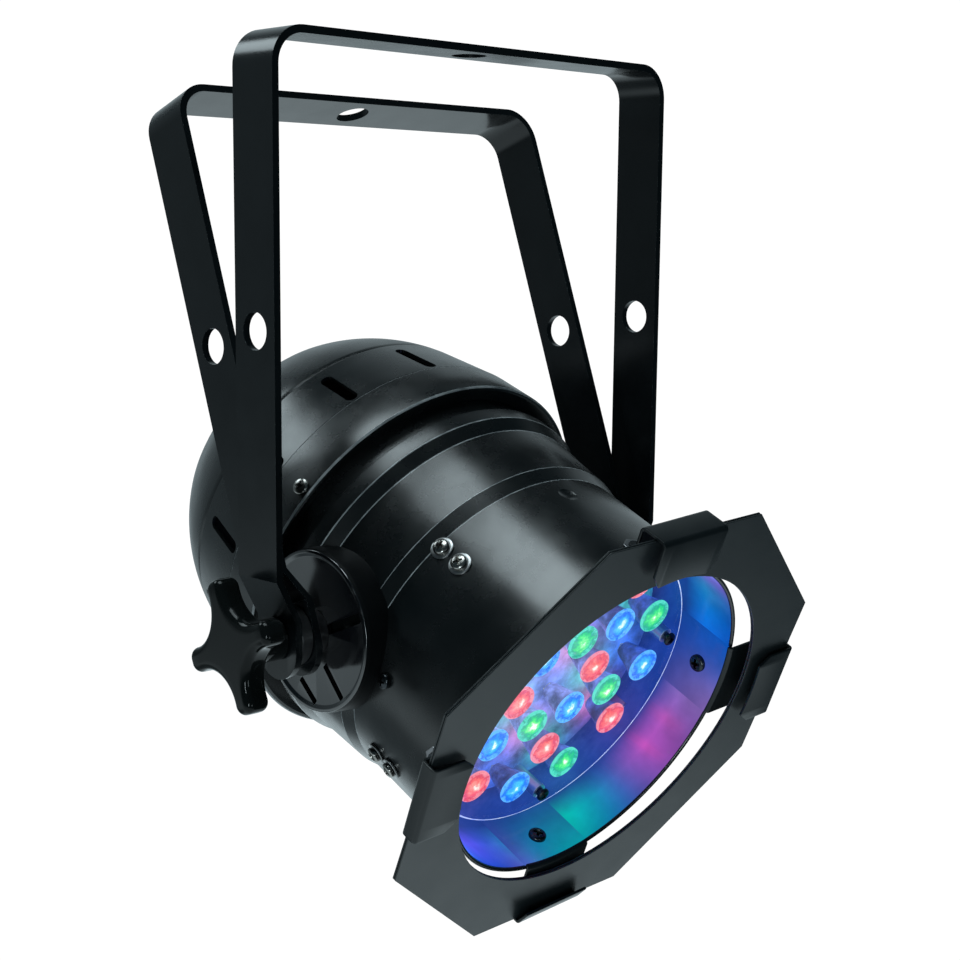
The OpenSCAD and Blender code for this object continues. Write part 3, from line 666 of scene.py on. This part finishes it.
def dent_tool():
    """A ball that presses a shallow dent into the top of the barrel."""
    dent = bmesh.new()
    bmesh.ops.create_uvsphere(dent, u_segments=64, v_segments=48, radius=DENT_R)
    verts = [tuple(v.co) for v in dent.verts]
    faces = [tuple(v.index for v in f.verts) for f in dent.faces]
    dent.free()
    return cutter("dent", verts, faces, radial_frame(DENT_ANGLE, DENT_S, BARREL_R + DENT_OUT))


def barrel():
    """The stepped can: outer wall, beads and groove, back along the inside, and the rolled rim."""
    inner_r, top_s = BARREL_R - WALL, RIM_S - RIM_BEAD
    outer = [(BARREL_R, top_s - 0.4), *BEAD_1, *BEAD_2, *GROOVE, (GROOVE[1][0], BARREL_END)]
    inner = [(GROOVE[1][0] - WALL, BARREL_END)]
    inner += [(r - WALL, s + WALL) for r, s in reversed(GROOVE)]
    inner += [(r - WALL, s) for r, s in (BEAD_2[1], BEAD_2[0], BEAD_1[1], BEAD_1[0])]
    inner += [(inner_r, top_s - 0.4)]
    corners = [0, 1.1, 1.1, 1.1, 1.1, 0.5, 0.2, 0.2, 0.2, 0.2, 0.3, 1, 1, 1, 1, 0]
    walls = rounded(outer + inner, corners)[1:-1]
    lip, steps = [], 20
    for k in range(steps + 1):
        a = radians(-150 + 300 * k / steps) + pi / 2
        lip.append((inner_r + RIM_BEAD - RIM_BEAD * cos(a), top_s + RIM_BEAD * sin(a)))
    # Rows of points on the long flat wall keep it from sharing its shading with the corners
    profile = [(BARREL_R, s) for s in (top_s - 0.9, 60, 40, 24)] + walls
    profile += [(inner_r, s) for s in (24, 40, 50, 60, top_s - 0.9)] + lip
    obj = lathe("barrel", profile, CAN, "can", "can_paint", [can_paint, inner_lamp_glow, painted_edge_highlight], sharp=24)
    cut(obj, [dent_tool()], sharp=20)
    # The inner wall carries the lamps' light, painted into its vertex colours.
    store_colours(obj, "wall_glow", wall_glow)
    to_can = TO_CAN.to_3x3()

    def inside(p, normal):
        n = (to_can @ normal).normalized()
        return n.x * p.x + n.y * p.y < -1e-6 and p.z < RIM_S - 1.0 and hypot(p.x, p.y) < BARREL_R - 0.6

    paint_faces(obj, 1, inside)
    # Painted highlight on the edges of the beads.
    paint_edge_highlights(obj, 2, [s for _, s in (*BEAD_1, *BEAD_2)], BARREL_R - 0.2)
    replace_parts(obj, "front_barrel")


def housing():
    """The widest ring, which closes over the barrel's end."""
    ring_r = GROOVE[1][0]
    front, back = HOUSING_S
    profile = rounded(
        [
            (ring_r + 0.05, front - 1.6), (HOUSING_R - 1.6, front), (HOUSING_R - 0.4, front),
            (HOUSING_R, front - 0.5), (BAND_R[0], back), (BAND_R[0] - WALL, back),
            (HOUSING_R - WALL - 0.3, front - 3.2), (ring_r + 2.4, front - 3.2), (ring_r + 1.25, front - 5),
            (ring_r + 1.25, BARREL_END), (ring_r + 0.05, BARREL_END),
        ],
        [0.2, 0.3, 0.5, 0.5, 0.3, 0.2, 0.3, 0.2, 0.2, 0.1, 0.1],
        4,
    )
    obj = lathe("rear_band", profile, CAN, "can", "can_paint", [can_paint, painted_edge_highlight])
    # Painted highlight on the housing's front and back edges.
    paint_edge_highlights(obj, 1, [front - 0.2], HOUSING_R - 0.75, 0.4)
    paint_edge_highlights(obj, 1, [back], BAND_R[0] - 0.4, 0.3)
    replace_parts(obj, "rear_housing")


def dome():
    """The band, its lip and the domed rear end with its slots."""
    (lip_s, end_s), band_s = DOME_S, HOUSING_S[1]
    first, last = (asin((s - DOME_CENTRE[1]) / DOME_R) for s in DOME_S)
    arc, inner_arc, steps = [], [], 28
    for k in range(1, steps):
        a = first + (last - first) * k / steps
        arc.append(on_circle(DOME_R, a, DOME_CENTRE))
        r, s = on_circle(DOME_R - WALL, a, DOME_CENTRE)
        inner_arc.append((r, max(end_s + WALL, s)))
    end_r = on_circle(DOME_R, last, DOME_CENTRE)[0]
    profile = [
        (BAND_R[0] - 0.1, band_s - 0.15), (BAND_R[1] + 0.35, lip_s + 1.4), (BAND_R[1] + 0.1, lip_s + 0.35),
        (BAND_R[1] - 0.35, lip_s), *arc, (end_r - 0.2, end_s + 0.25), (end_r - 0.6, end_s), (SEAT_R, end_s),
        (SEAT_R, end_s + WALL), *reversed(inner_arc), (BAND_R[1] - WALL, lip_s - 0.5),
        (BAND_R[0] - 2 * WALL, band_s - 2), (BAND_R[0] - 2 * WALL, band_s + 5),
        (BAND_R[0] - WALL - 0.1, band_s + 5), (BAND_R[0] - WALL - 0.1, band_s - 0.15),
    ]
    obj = lathe("rear_dome", profile, CAN, "can", "can_paint", can_paint, sharp=28)
    verts, faces = prism(slot_outline(*VENT_SIZE), -10, 8)
    cut(obj, [cutter(f"vent_{i}", verts, faces, radial_frame(VENT_FIRST + i * 360 / VENTS, VENT_S, 66))
              for i in range(VENTS)], sharp=28)
    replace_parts(obj, "rear_shell")


barrel()
housing()
dome()

# ------------ hubs and knobs


def hub(side, name):
    """A dished plate fitted to the can, with three slots in its face."""
    profile = rounded(
        [
            (LOOSE_R, HUB_BACK), (HUB_R - 2.6, HUB_BACK), (HUB_R - 1.4, HUB_BACK - 2), (HUB_R - 1.2, 50),
            (HUB_R + 1.4, 50), (HUB_R + 0.4, HUB_RIM - 1.6), (HUB_R, HUB_RIM),
            (HUB_R - 1.1, HUB_RIM), (HUB_R - 2.1, HUB_FACE), (LOOSE_R, HUB_FACE),
        ],
        [0, 0.4, 0.4, 0, 0, 0.6, 0.35, 0.4, 0.5, 0],
        4,
    )
    obj = lathe("hub_" + name, profile, side_frame(side), "can", "hub_paint", hub_paint, 160)
    inside = [(0, 75), (BARREL_R, 75), *BEAD_1, *BEAD_2, *GROOVE, (GROOVE[1][0], -40), (0, -40)]
    tools = [cutter("can_inside", *ring_points(inside, 160), CAN)]
    # Depth and height on the hub's face, and out of the can's side
    lying = Matrix(((0, 0, side, 0), (1, 0, 0, 0), (0, 1, 0, 0), (0, 0, 0, 1)))
    for start, end, width in HUB_SLOTS:
        a, b = Vector(start), Vector(end)
        along = (b - a).normalized()
        half = Vector((-along.y, along.x)) * width / 2
        outline = rounded([tuple(p) for p in (a + half, b + half, b - half, a - half)], 0.5, 3)
        tools.append(cutter("hub_slot", *prism(outline, HUB_BACK - 5, HUB_FACE + 5),
                            Matrix.Translation(PIVOT) @ SCALE @ lying))
    cut(obj, tools)
    # The hub's side wall gets the darker copy of its paint: painted shade.
    obj.data.materials.append(hub_wall_shade)
    for face in obj.data.polygons:
        if abs(face.normal.x) < 0.3 and abs(face.center.x) < (HUB_RIM - 0.8) * MM:
            face.material_index = 1
    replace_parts(obj, "side_hub_" + name)


def star_outline(grow):
    """Four lobes with rounded tips and wide hollows between them, drawn in or out by an offset."""
    points = []
    tip = LOBE_R - LOBE_CORNER
    reach = VALLEY_R + LOBE_CORNER
    gap = acos((tip ** 2 + VALLEY_AT ** 2 - reach ** 2) / (2 * tip * VALLEY_AT))
    half = pi / LOBES
    for lobe in range(LOBES):
        axis = lobe * TAU / LOBES
        for end in (-1, 1):
            # Each rounded corner runs from the hollow's side to the tip, or back
            at = axis + end * (half - gap)
            centre = Vector(on_circle(tip, at))
            hollow = Vector(on_circle(VALLEY_AT, axis + end * half)) - centre
            swing = turn_between(at, atan2(hollow.y, hollow.x))
            angles = [at + swing * k / 9 for k in range(10)]
            corner = [on_circle(LOBE_CORNER + grow, t, centre) for t in angles]
            points += corner[::-1] if end < 0 else corner
        valley = axis + half
        centre = Vector(on_circle(VALLEY_AT, valley))
        first = Vector(points[-1]) - centre
        start = atan2(first.y, first.x)
        swing, steps = turn_between(start, valley + pi), 28
        points += [on_circle(VALLEY_R - grow, start + 2 * swing * k / steps, centre) for k in range(1, steps)]
    return points


def knob(side, name):
    """A star-shaped hand knob and its neck."""
    turn = Matrix.Rotation(radians(KNOB_TURN if side < 0 else 180 - KNOB_TURN), 4, "Z")
    low, high = KNOB_HEAD
    # Outlines stacked from the inner face to the outer one, drawn in along a quarter round at each edge
    rise = [pi / 2 * k / 8 for k in range(9)]
    layers = [(KNOB_EDGE * (sin(a) - 1), low + KNOB_EDGE * (1 - cos(a))) for a in rise]
    layers += [(KNOB_EDGE * (cos(a) - 1), high - KNOB_EDGE * (1 - sin(a))) for a in rise]
    verts = []
    for grow, z in layers:
        verts += [(x, y, z) for x, y in star_outline(grow)]
    count = len(verts) // len(layers)
    # The outer face: outlines that shrink towards the middle
    outline, rows = star_outline(-KNOB_EDGE), 6
    for k in range(1, rows):
        verts += [(x * (1 - k / rows), y * (1 - k / rows), high) for x, y in outline]
    last = len(verts) - count
    faces = [tuple(range(count)), *grid_faces(len(layers) + rows - 1, count)]
    faces += [(last + i, last + (i + 1) % count, len(verts)) for i in range(count)]
    verts.append((0, 0, high))
    head = make("knob_head_" + name, verts, faces, side_frame(side) @ turn, "knob_" + name, "knob_plastic",
                knob_plastic, 60)
    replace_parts(head, "knob_" + name)
    neck_end = low + 2
    neck = rounded([(BORE_R, NECK_FROM), (NECK_R, NECK_FROM), (NECK_R, neck_end), (BORE_R, neck_end)],
                   [0.3, 0.6, 0, 0], 4)
    lathe("knob_neck_" + name, neck, side_frame(side), "knob_" + name, "knob_plastic", knob_plastic, 96)


for side, name in ((-1, "left"), (1, "right")):
    hub(side, name)
    knob(side, name)

# ------------ clips


def clip_front(angle):
    """Where a clip's flange lies along the beam: the frame leans a little in its clips."""
    a, lean, swing = (radians(x) for x in (angle, FRAME_LEAN, FRAME_SWING))
    return FRAME_S + CLIP_PLAY + CLIP_RADIAL * (sin(a) * sin(lean) + cos(a) * sin(swing))


def clip(name, angle):
    """A sheet bent four times: plate inside the can, strip, spine and the flange that holds the frame."""
    front = clip_front(angle)
    plate_r = BARREL_R - WALL - 0.1 - CLIP_T / 2
    strip_s = RIM_S + RIM_GAP + CLIP_T / 2
    spine_r = CLIP_RADIAL - CLIP_T / 2
    verts, columns = [], 33
    for j in range(columns):
        y = -CLIP_W / 2 + CLIP_W * j / (columns - 1)
        inner = sqrt(plate_r ** 2 - y * y)
        if name == "bottom":
            ends = [(spine_r, front - LIP_START), (LIP_R, front + LIP_FLARE)]
        else:
            reach = FLANGE_ARC_OUT + sqrt(FLANGE_ARC_R ** 2 - y * y)
            if abs(y) > CORNER_Y:
                reach = max(reach, CORNER_R + (abs(y) - CORNER_Y) * CORNER_SLOPE)
            ends = [(spine_r, front - CLIP_T / 2), (reach, front - CLIP_T / 2)]
        path = [(inner, CLIP_FROM_S), (inner, strip_s), (spine_r, strip_s), *ends]
        line = rounded(path, [0, CLIP_BEND, CLIP_BEND, CLIP_BEND, 0], 5)
        verts += [(r, y, s) for r, s in line]
    faces = grid_faces(columns, len(line), closed=False)
    turn = Matrix.Rotation(radians(angle + FRAME_TURN), 4, "Z")
    paints = [clip_paint, inner_lamp_glow]
    obj = make("clip_sheet_" + name, verts, faces, CAN @ turn, "can", "clip_paint", paints, 40)
    modify(obj, "thick", "SOLIDIFY", thickness=CLIP_T * MM, offset=0)
    modify(obj, "edge", "BEVEL", width=0.16 * MM, segments=2, limit_method="ANGLE", angle_limit=radians(50))
    apply_modifiers(obj, 40)
    # The clips' plates inside the can carry the same painted lamp light.
    store_colours(obj, "wall_glow", wall_glow)
    paint_faces(obj, 1, lambda p, normal: p.z < RIM_S - 1 and hypot(p.x, p.y) < BARREL_R)
    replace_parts(obj, "clip_" + name)


for name, angle in CLIP_ANGLES.items():
    clip(name, angle)

# ------------ screws


def pan_head(r, height, shank, shank_r):
    """Verts and faces of a pan head on its shank, head seat at height 0."""
    outline = [(0, height)]
    for k in range(1, 8):
        a = pi / 2 * k / 8
        outline.append((r * sin(a) ** 0.9, height * (0.42 + 0.58 * cos(a) ** 0.8)))
    edge = 0.12 * height
    outline += [(r, 0.42 * height), (r, edge), (r - edge, 0), (shank_r, 0), (shank_r, -shank), (0, -shank)]
    return ring_points(outline, 40)


def cross_tool(r, depth, height):
    """A tapering cross, for the recess in a screw's head."""
    verts, faces = [], []
    arm, half = r * 0.66, r * 0.17
    corners = ((1, 1), (-1, 1), (-1, -1), (1, -1))
    bar = [(sx * arm, sy * half, height + 0.5) for sx, sy in corners]
    bar += [(sx * arm * 0.45, sy * half * 0.7, height - depth) for sx, sy in corners]
    sides = ((0, 1, 2, 3), (7, 6, 5, 4), (0, 4, 5, 1), (1, 5, 6, 2), (2, 6, 7, 3), (3, 7, 4, 0))
    for c, s in ((1, 0), (0, 1)):
        join(verts, faces, [(x * c - y * s, x * s + y * c, z) for x, y, z in bar], sides)
    return verts, faces


def screws(name, node, places, r, height, mat, slot, shank, shank_r=1.9):
    """One pan-head screw of head radius r, cut once and copied to each place, as one piece."""
    pattern = cutter("screw_pattern", *pan_head(r, height, shank, shank_r), HERE)
    cut(pattern, [cutter("cross", *cross_tool(r, height * 0.95, height), HERE)], use_self=True)
    verts, faces = [], []
    for i, place in enumerate(places):
        spin = place @ Matrix.Rotation(radians(20 + 37 * i), 4, "Z")
        join(verts, faces, [tuple(spin @ v.co) for v in pattern.data.vertices],
             [tuple(f.vertices) for f in pattern.data.polygons])
    bpy.data.objects.remove(pattern)
    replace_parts(make(name, verts, faces, HERE, "can", slot, mat, 35), node)


pair_places = []
for left_angle, *stations in SCREW_PAIRS:
    for angle in (left_angle, 180 - left_angle):
        pair_places += [(angle, s) for s in stations]
quarters = (0, 90, 180, 270)
screws("barrel_pan_screws", "barrel_screws", [radial_frame(a, s, BARREL_R + 0.85) for a, s in pair_places],
       2.75, 1.9, bright_screw, "bright_screw", 6.5)
screws("joint_pan_screws", "joint_screws", [radial_frame(a, JOINT_S, HOUSING_R) for a in JOINT_ANGLES],
       2.9, 1.8, bright_screw, "bright_screw", 8.5)
screws("side_pan_screws", "side_screws",
       [radial_frame(a, SIDE_S, BARREL_R + 0.05) for a in (SIDE_ANGLE, 180 - SIDE_ANGLE)],
       2.6, 2.0, dark_screw, "dark_screw", 6.5)
screws("clip_pan_screws", "clip_screws",
       [radial_frame(FRAME_TURN + a, CLIP_SCREW_S, CLIP_SCREW_R) @ FLIP for a in quarters],
       3.2, 2.2, dark_screw, "bright_screw", 6.0)
screws("plate_pan_screws", "lens_screws",
       [face_frame(MODULE_TURN + PLATE_SCREW_TURN + a, PLATE_S, PLATE_SCREW_R) for a in quarters],
       2.5, 1.6, dark_screw, "bright_screw", 5.8, 1.5)
screws("panel_pan_screws", "panel_screws",
       [face_frame(45 + a, PANEL_S - PANEL_T, PANEL_SCREW_R) @ FLIP for a in quarters],
       2.6, 1.4, bright_screw, "bright_screw", 5.4, 1.4)


def washers():
    """Spring washers under the barrel's screws: split rings, a little twisted."""
    verts, faces = [], []
    inner, outer, height, steps = 2.05, 3.85, 0.72, 40
    section = ((inner, 0.08), (inner + 0.1, 0), (outer - 0.1, 0), (outer, 0.1), (outer, height - 0.1),
               (outer - 0.12, height), (inner + 0.1, height), (inner, height - 0.08))
    count = len(section)
    for angle, s in pair_places:
        place = radial_frame(angle, s, BARREL_R + 0.07)
        rows = []
        for k in range(steps + 1):
            a = TAU * (0.02 + 0.96 * k / steps)
            lift = 0.05 * k / steps
            rows += [tuple(place @ Vector((*on_circle(r, a), z * 0.93 + lift))) for r, z in section]
        ends = [tuple(range(count)), tuple(range(steps * count, (steps + 1) * count))]
        join(verts, faces, rows, grid_faces(steps + 1, count) + ends)
    obj = make("spring_washers", verts, faces, HERE, "can", "bright_screw", washer_metal, 40)
    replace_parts(obj, "barrel_washers")


washers()

# ------------ light module


def lens_profile():
    """A moulded collimator from its foot to the shallow dome in its rim."""
    foot = [(0, 0), (3.0, 0), (3.4, 1.2), (4.3, 4.5), (5.2, 7.5)]
    rim = [(5.9, -1.4), (6.35, -1.0), (6.4, -0.8), (6.4, -0.2), (6.25, -0.02), (5.95, 0), (5.65, -0.12),
           (5.45, -0.45)]
    for k in range(1, 13):
        share = 1 - k / 12
        rim.append((LENS_DOME_R * share, 0.85 * cos(share * pi / 2) ** 1.2 - 0.55))
    return [(r, LENS_S + z) for r, z in foot] + [(r, LENS_TOP + z) for r, z in rim]


def lenses():
    """The lenses of each colour, with their radius and face stored for the material."""
    pattern, pattern_faces = ring_points(lens_profile(), 40)
    for name in COLOURS:
        verts, faces = [], []
        centres = [(x, y) for colour, x, y in LAMPS if colour == name]
        for x, y in centres:
            join(verts, faces, [(vx + x, vy + y, vz) for vx, vy, vz in pattern], pattern_faces)
        obj = make("lens_set_" + name, verts, faces, CAN, "can", "lens_" + name, lens_lit[name], 50)
        radius = obj.data.attributes.new("lens_radius", "FLOAT", "POINT")
        face = obj.data.attributes.new("lens_face", "FLOAT", "POINT")
        for i, vertex in enumerate(obj.data.vertices):
            p = TO_CAN @ vertex.co
            radius.data[i].value = min(hypot(p.x - x, p.y - y) for x, y in centres) / LENS_R
            face.data[i].value = min(1.0, max(0.0, (p.z - LENS_TOP + 1.1) / 0.3))
        store_colours(obj, "board_glow", lambda p: board_glow(p, 0.72, 0.0))
        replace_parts(obj, "lenses_" + name)


def board():
    """The module's board as a fine disc, so that it can carry the lamps' scattered light."""
    rows, steps = 54, 180
    verts = []
    for j in range(1, rows + 1):
        verts += ring(BOARD_R * j / rows, steps, BOARD_TOP)
    # The top's centre, its rows, the edge and the underside
    faces = grid_faces(rows, steps) + [(len(verts), i, (i + 1) % steps) for i in range(steps)]
    last, base = (rows - 1) * steps, len(verts) + 1
    verts += [(0, 0, BOARD_TOP), *ring(BOARD_R, steps, BOARD_S)]
    faces += [(last + i, last + (i + 1) % steps, base + (i + 1) % steps, base + i) for i in range(steps)]
    faces.append(tuple(base + i for i in range(steps)))
    obj = make("module_board", verts, faces, CAN, "can", "white_board", board_lit, 30)
    store_colours(obj, "board_glow", board_glow)
    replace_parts(obj, "led_board")


def plate():
    """The clear plate, with a lit rim."""
    low = PLATE_S - PLATE_T
    outline = [(0, low), (PLATE_R, low), (PLATE_R, PLATE_S), (0, PLATE_S)]
    outline = rounded(outline, [0, 0.25, PLATE_BEVEL, 0], 4)
    obj = lathe("clear_disc", outline, CAN, "can", "clear_plate", [plate_clear, plate_edge], 256, 30)
    rim = PLATE_BEVEL + 0.02
    paint_faces(obj, 1, lambda p, normal: hypot(p.x, p.y) > PLATE_R - rim and p.z > PLATE_S - rim)
    store_colours(obj, "board_glow", board_glow)
    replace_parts(obj, "lens_plate")


lenses()
board()
plate()

# ------------ digits of the display

DISPLAY_AT, DISPLAY_S = (0.0, 32.0), -102.1
DIGIT_STEP, BAR_L, BAR_HALF, BAR_GAP, BAR_T = 7.0, 3.9, 0.42, 0.12, 0.12
# Bars of a digit: half lengths across and up from its middle, and whether the bar is upright
BARS = ((0, 2, False), (-1, 1, True), (1, 1, True), (0, 0, False), (-1, -1, True), (1, -1, True),
        (0, -2, False))
LIT_BARS = {"0": (0, 1, 2, 4, 5, 6), "1": (2, 5)}


def digits(value, lit):
    """The lit or the unlit bars of the seven-bar digits, read from behind the can."""
    verts, faces = [], []
    half = BAR_L / 2 - BAR_GAP
    short = half - BAR_HALF
    outline = ((-half, 0), (-short, BAR_HALF), (short, BAR_HALF), (half, 0), (short, -BAR_HALF),
               (-short, -BAR_HALF))
    for place, digit in enumerate(value):
        for bar, (across, up, upright) in enumerate(BARS):
            if (bar in LIT_BARS[digit]) != lit:
                continue
            cx = DISPLAY_AT[0] - (place - (len(value) - 1) / 2) * DIGIT_STEP - across * BAR_L / 2
            cy = DISPLAY_AT[1] + up * BAR_L / 2
            points = [(cx - v, cy + u) if upright else (cx - u, cy + v) for u, v in outline]
            join(verts, faces, *prism(points, DISPLAY_S + 0.03, DISPLAY_S - BAR_T))
    return verts, faces


make("display_bars_lit", *digits("0001", True), CAN, "can", "display_plastic", bar_lit, 30)
make("display_bars_dark", *digits("0001", False), CAN, "can", "display_plastic", bar_dark, 30)

# ------------ CAD nodes that keep their shape

# Width of the rounded edges in millimetres, nodes, material, material of the edges (on the yokes a painted
# highlight)
KEPT = (
    (0.5, "front_yoke", yoke_paint, yoke_edge_highlight), (0.45, "rear_yoke", yoke_paint, yoke_edge_highlight),
    (0.3, "pivot_bolt_left pivot_bolt_right clip_nuts", bolt_steel), (0.4, "pivot_spacers", nylon),
    (0.3, "friction_washers", nylon), (0.12, "gel_frame_front gel_frame_rear", frame_paint),
    (0.2, "lens_spacers", spacer_metal), (0.2, "led_emitters", emitter_lit), (0.3, "heat_sink", sink_metal),
    (0.3, "module_brackets chassis_plate", case_metal), (0.8, "power_supply", case_metal),
    (0.2, "control_board button_switches", board_green), (0.2, "board_standoffs", pin_metal),
    (0.25, "rear_panel", panel_paint), (0.2, "display_module", window_red),
    (0.6, "menu_button_1 menu_button_2 menu_button_3 menu_button_4", button_plastic),
    (0.4, "data_in_socket fuse_cap", socket_plastic), (0.3, "data_out_socket fuse_holder", socket_plastic),
    (0.5, "power_inlet", socket_plastic), (0.4, "data_in_pins", pin_metal), (0.3, "inlet_blades", pin_metal),
    (0.4, "release_tab", tab_metal), (0.2, "safety_eye", bright_screw),
)
for width, names, *mats in KEPT:
    for node in names.split():
        edges_of(node, width, *mats)

# ------------ studio

# Directions are azimuth and elevation in degrees, seen from the can: azimuth 0 is the front, 90 the right
COOL, AIR = (0.8, 0.95, 1.0), (0.008, 0.014, 0.017)
FLOOR_Z = -1.1
BACKDROP_R = 4.0


def white_material():
    mat = bpy.data.materials.new("studio_white")
    mat.use_nodes = True
    tree = mat.node_tree
    tree.nodes.clear()
    glow = add(tree, "Emission", {"Color": (1, 1, 1), "Strength": 1.05})
    add(tree, "OutputMaterial", {"Surface": glow.outputs["Emission"]})
    return mat


def studio_shell(name, profile, mat):
    """A part of the white studio that the camera sees and the object doesn't."""
    obj = new_object(name, *ring_points(profile, 64, close=False), HERE)
    obj.data.materials.append(mat)
    settle(obj, visible_diffuse=False, visible_glossy=False, visible_transmission=False, visible_shadow=False)


def towards(azimuth, elevation):
    a, e = radians(azimuth), radians(elevation)
    return Vector((sin(a) * cos(e), -cos(a) * cos(e), sin(e)))


def softbox(name, direction, distance, width, height, radiance):
    light = settle(bpy.data.lights.new(name, "AREA"), shape="RECTANGLE", size=width, size_y=height,
                   energy=radiance * width * height * pi, color=COOL)
    away = distance * towards(*direction)
    settle(place_object(name, light), location=PIVOT + away, rotation_mode="QUATERNION",
           rotation_quaternion=away.to_track_quat("Z", "Y"), visible_camera=False)


def studio_world():
    """Dim cool air, a pale table with the object's shadow, a pale wall and a glow from the back left."""
    world = bpy.data.worlds.new("studio_air")
    bpy.context.scene.world = world
    world.use_nodes = True
    tree = world.node_tree
    seen = add(tree, "TexCoord").outputs["Generated"]

    def region(direction, start, end, strength):
        """A strength round a direction, fading between two cosines of the angle from it."""
        facing = add(tree, "VectorMath", {0: seen, 1: towards(*direction)}, operation="DOT_PRODUCT")
        facing = facing.outputs["Value"]
        inputs = {"Value": facing, "From Min": start, "From Max": end, "To Max": strength}
        return add(tree, "MapRange", inputs, interpolation_type="SMOOTHSTEP").outputs["Result"]

    light = calculate(tree, "SUBTRACT", 1, region((-165, -36), 0.9, 0.975, 0.85))
    table = calculate(tree, "MULTIPLY", region((-141, -75.4), 0.36, 0.6, 0.92), light)
    total = mix_colour(tree, table, AIR, COOL)
    for place in (((136, 3), 0.55, 0.92, 0.5), ((-150, 5), 0.82, 0.98, 0.16)):
        wall = mix_colour(tree, region(*place), AIR, COOL)
        total = mix_colour(tree, 1, total, wall, blend_type="ADD")
    feed(tree, tree.nodes["Background"], {"Color": total})


white = white_material()
studio_shell("floor", [(0, FLOOR_Z), (BACKDROP_R, FLOOR_Z)], white)
studio_shell("backdrop", [(BACKDROP_R, FLOOR_Z), (BACKDROP_R, 3.0), (BACKDROP_R * 0.6, 4.5), (0, 5.0)], white)
softbox("key_overhead", (-108, 80), 1.3, 0.72, 0.72, 6.8)
softbox("back_left", (-155, 40), 1.4, 0.55, 0.4, 5.0)
softbox("front_strip", (-10, -9), 1.6, 0.18, 0.4, 9.0)
softbox("camera_side_strip", (-54, -3), 1.6, 0.1, 0.55, 40.0)
studio_world()

# ------------ camera

CAMERA_AT = (-0.407, -0.4257, -0.06245)
YAW, PITCH, ROLL = 0.764, -0.1561, 0.0085
camera_data = settle(bpy.data.cameras.new("camera"), sensor_width=36, lens=63.39, shift_x=0.0134,
                     shift_y=0.026, clip_start=0.01, clip_end=30)
camera = place_object("camera", camera_data)
forward = Vector((sin(YAW) * cos(PITCH), cos(YAW) * cos(PITCH), sin(PITCH)))
level = Vector((cos(YAW), -sin(YAW), 0))
upright = level.cross(forward)
right = cos(ROLL) * level + sin(ROLL) * upright
up = -sin(ROLL) * level + cos(ROLL) * upright
camera.matrix_world = Matrix.Translation(CAMERA_AT) @ Matrix((right, up, -forward)).transposed().to_4x4()
bpy.context.scene.camera = camera
bpy.context.scene.view_settings.view_transform = "Standard"
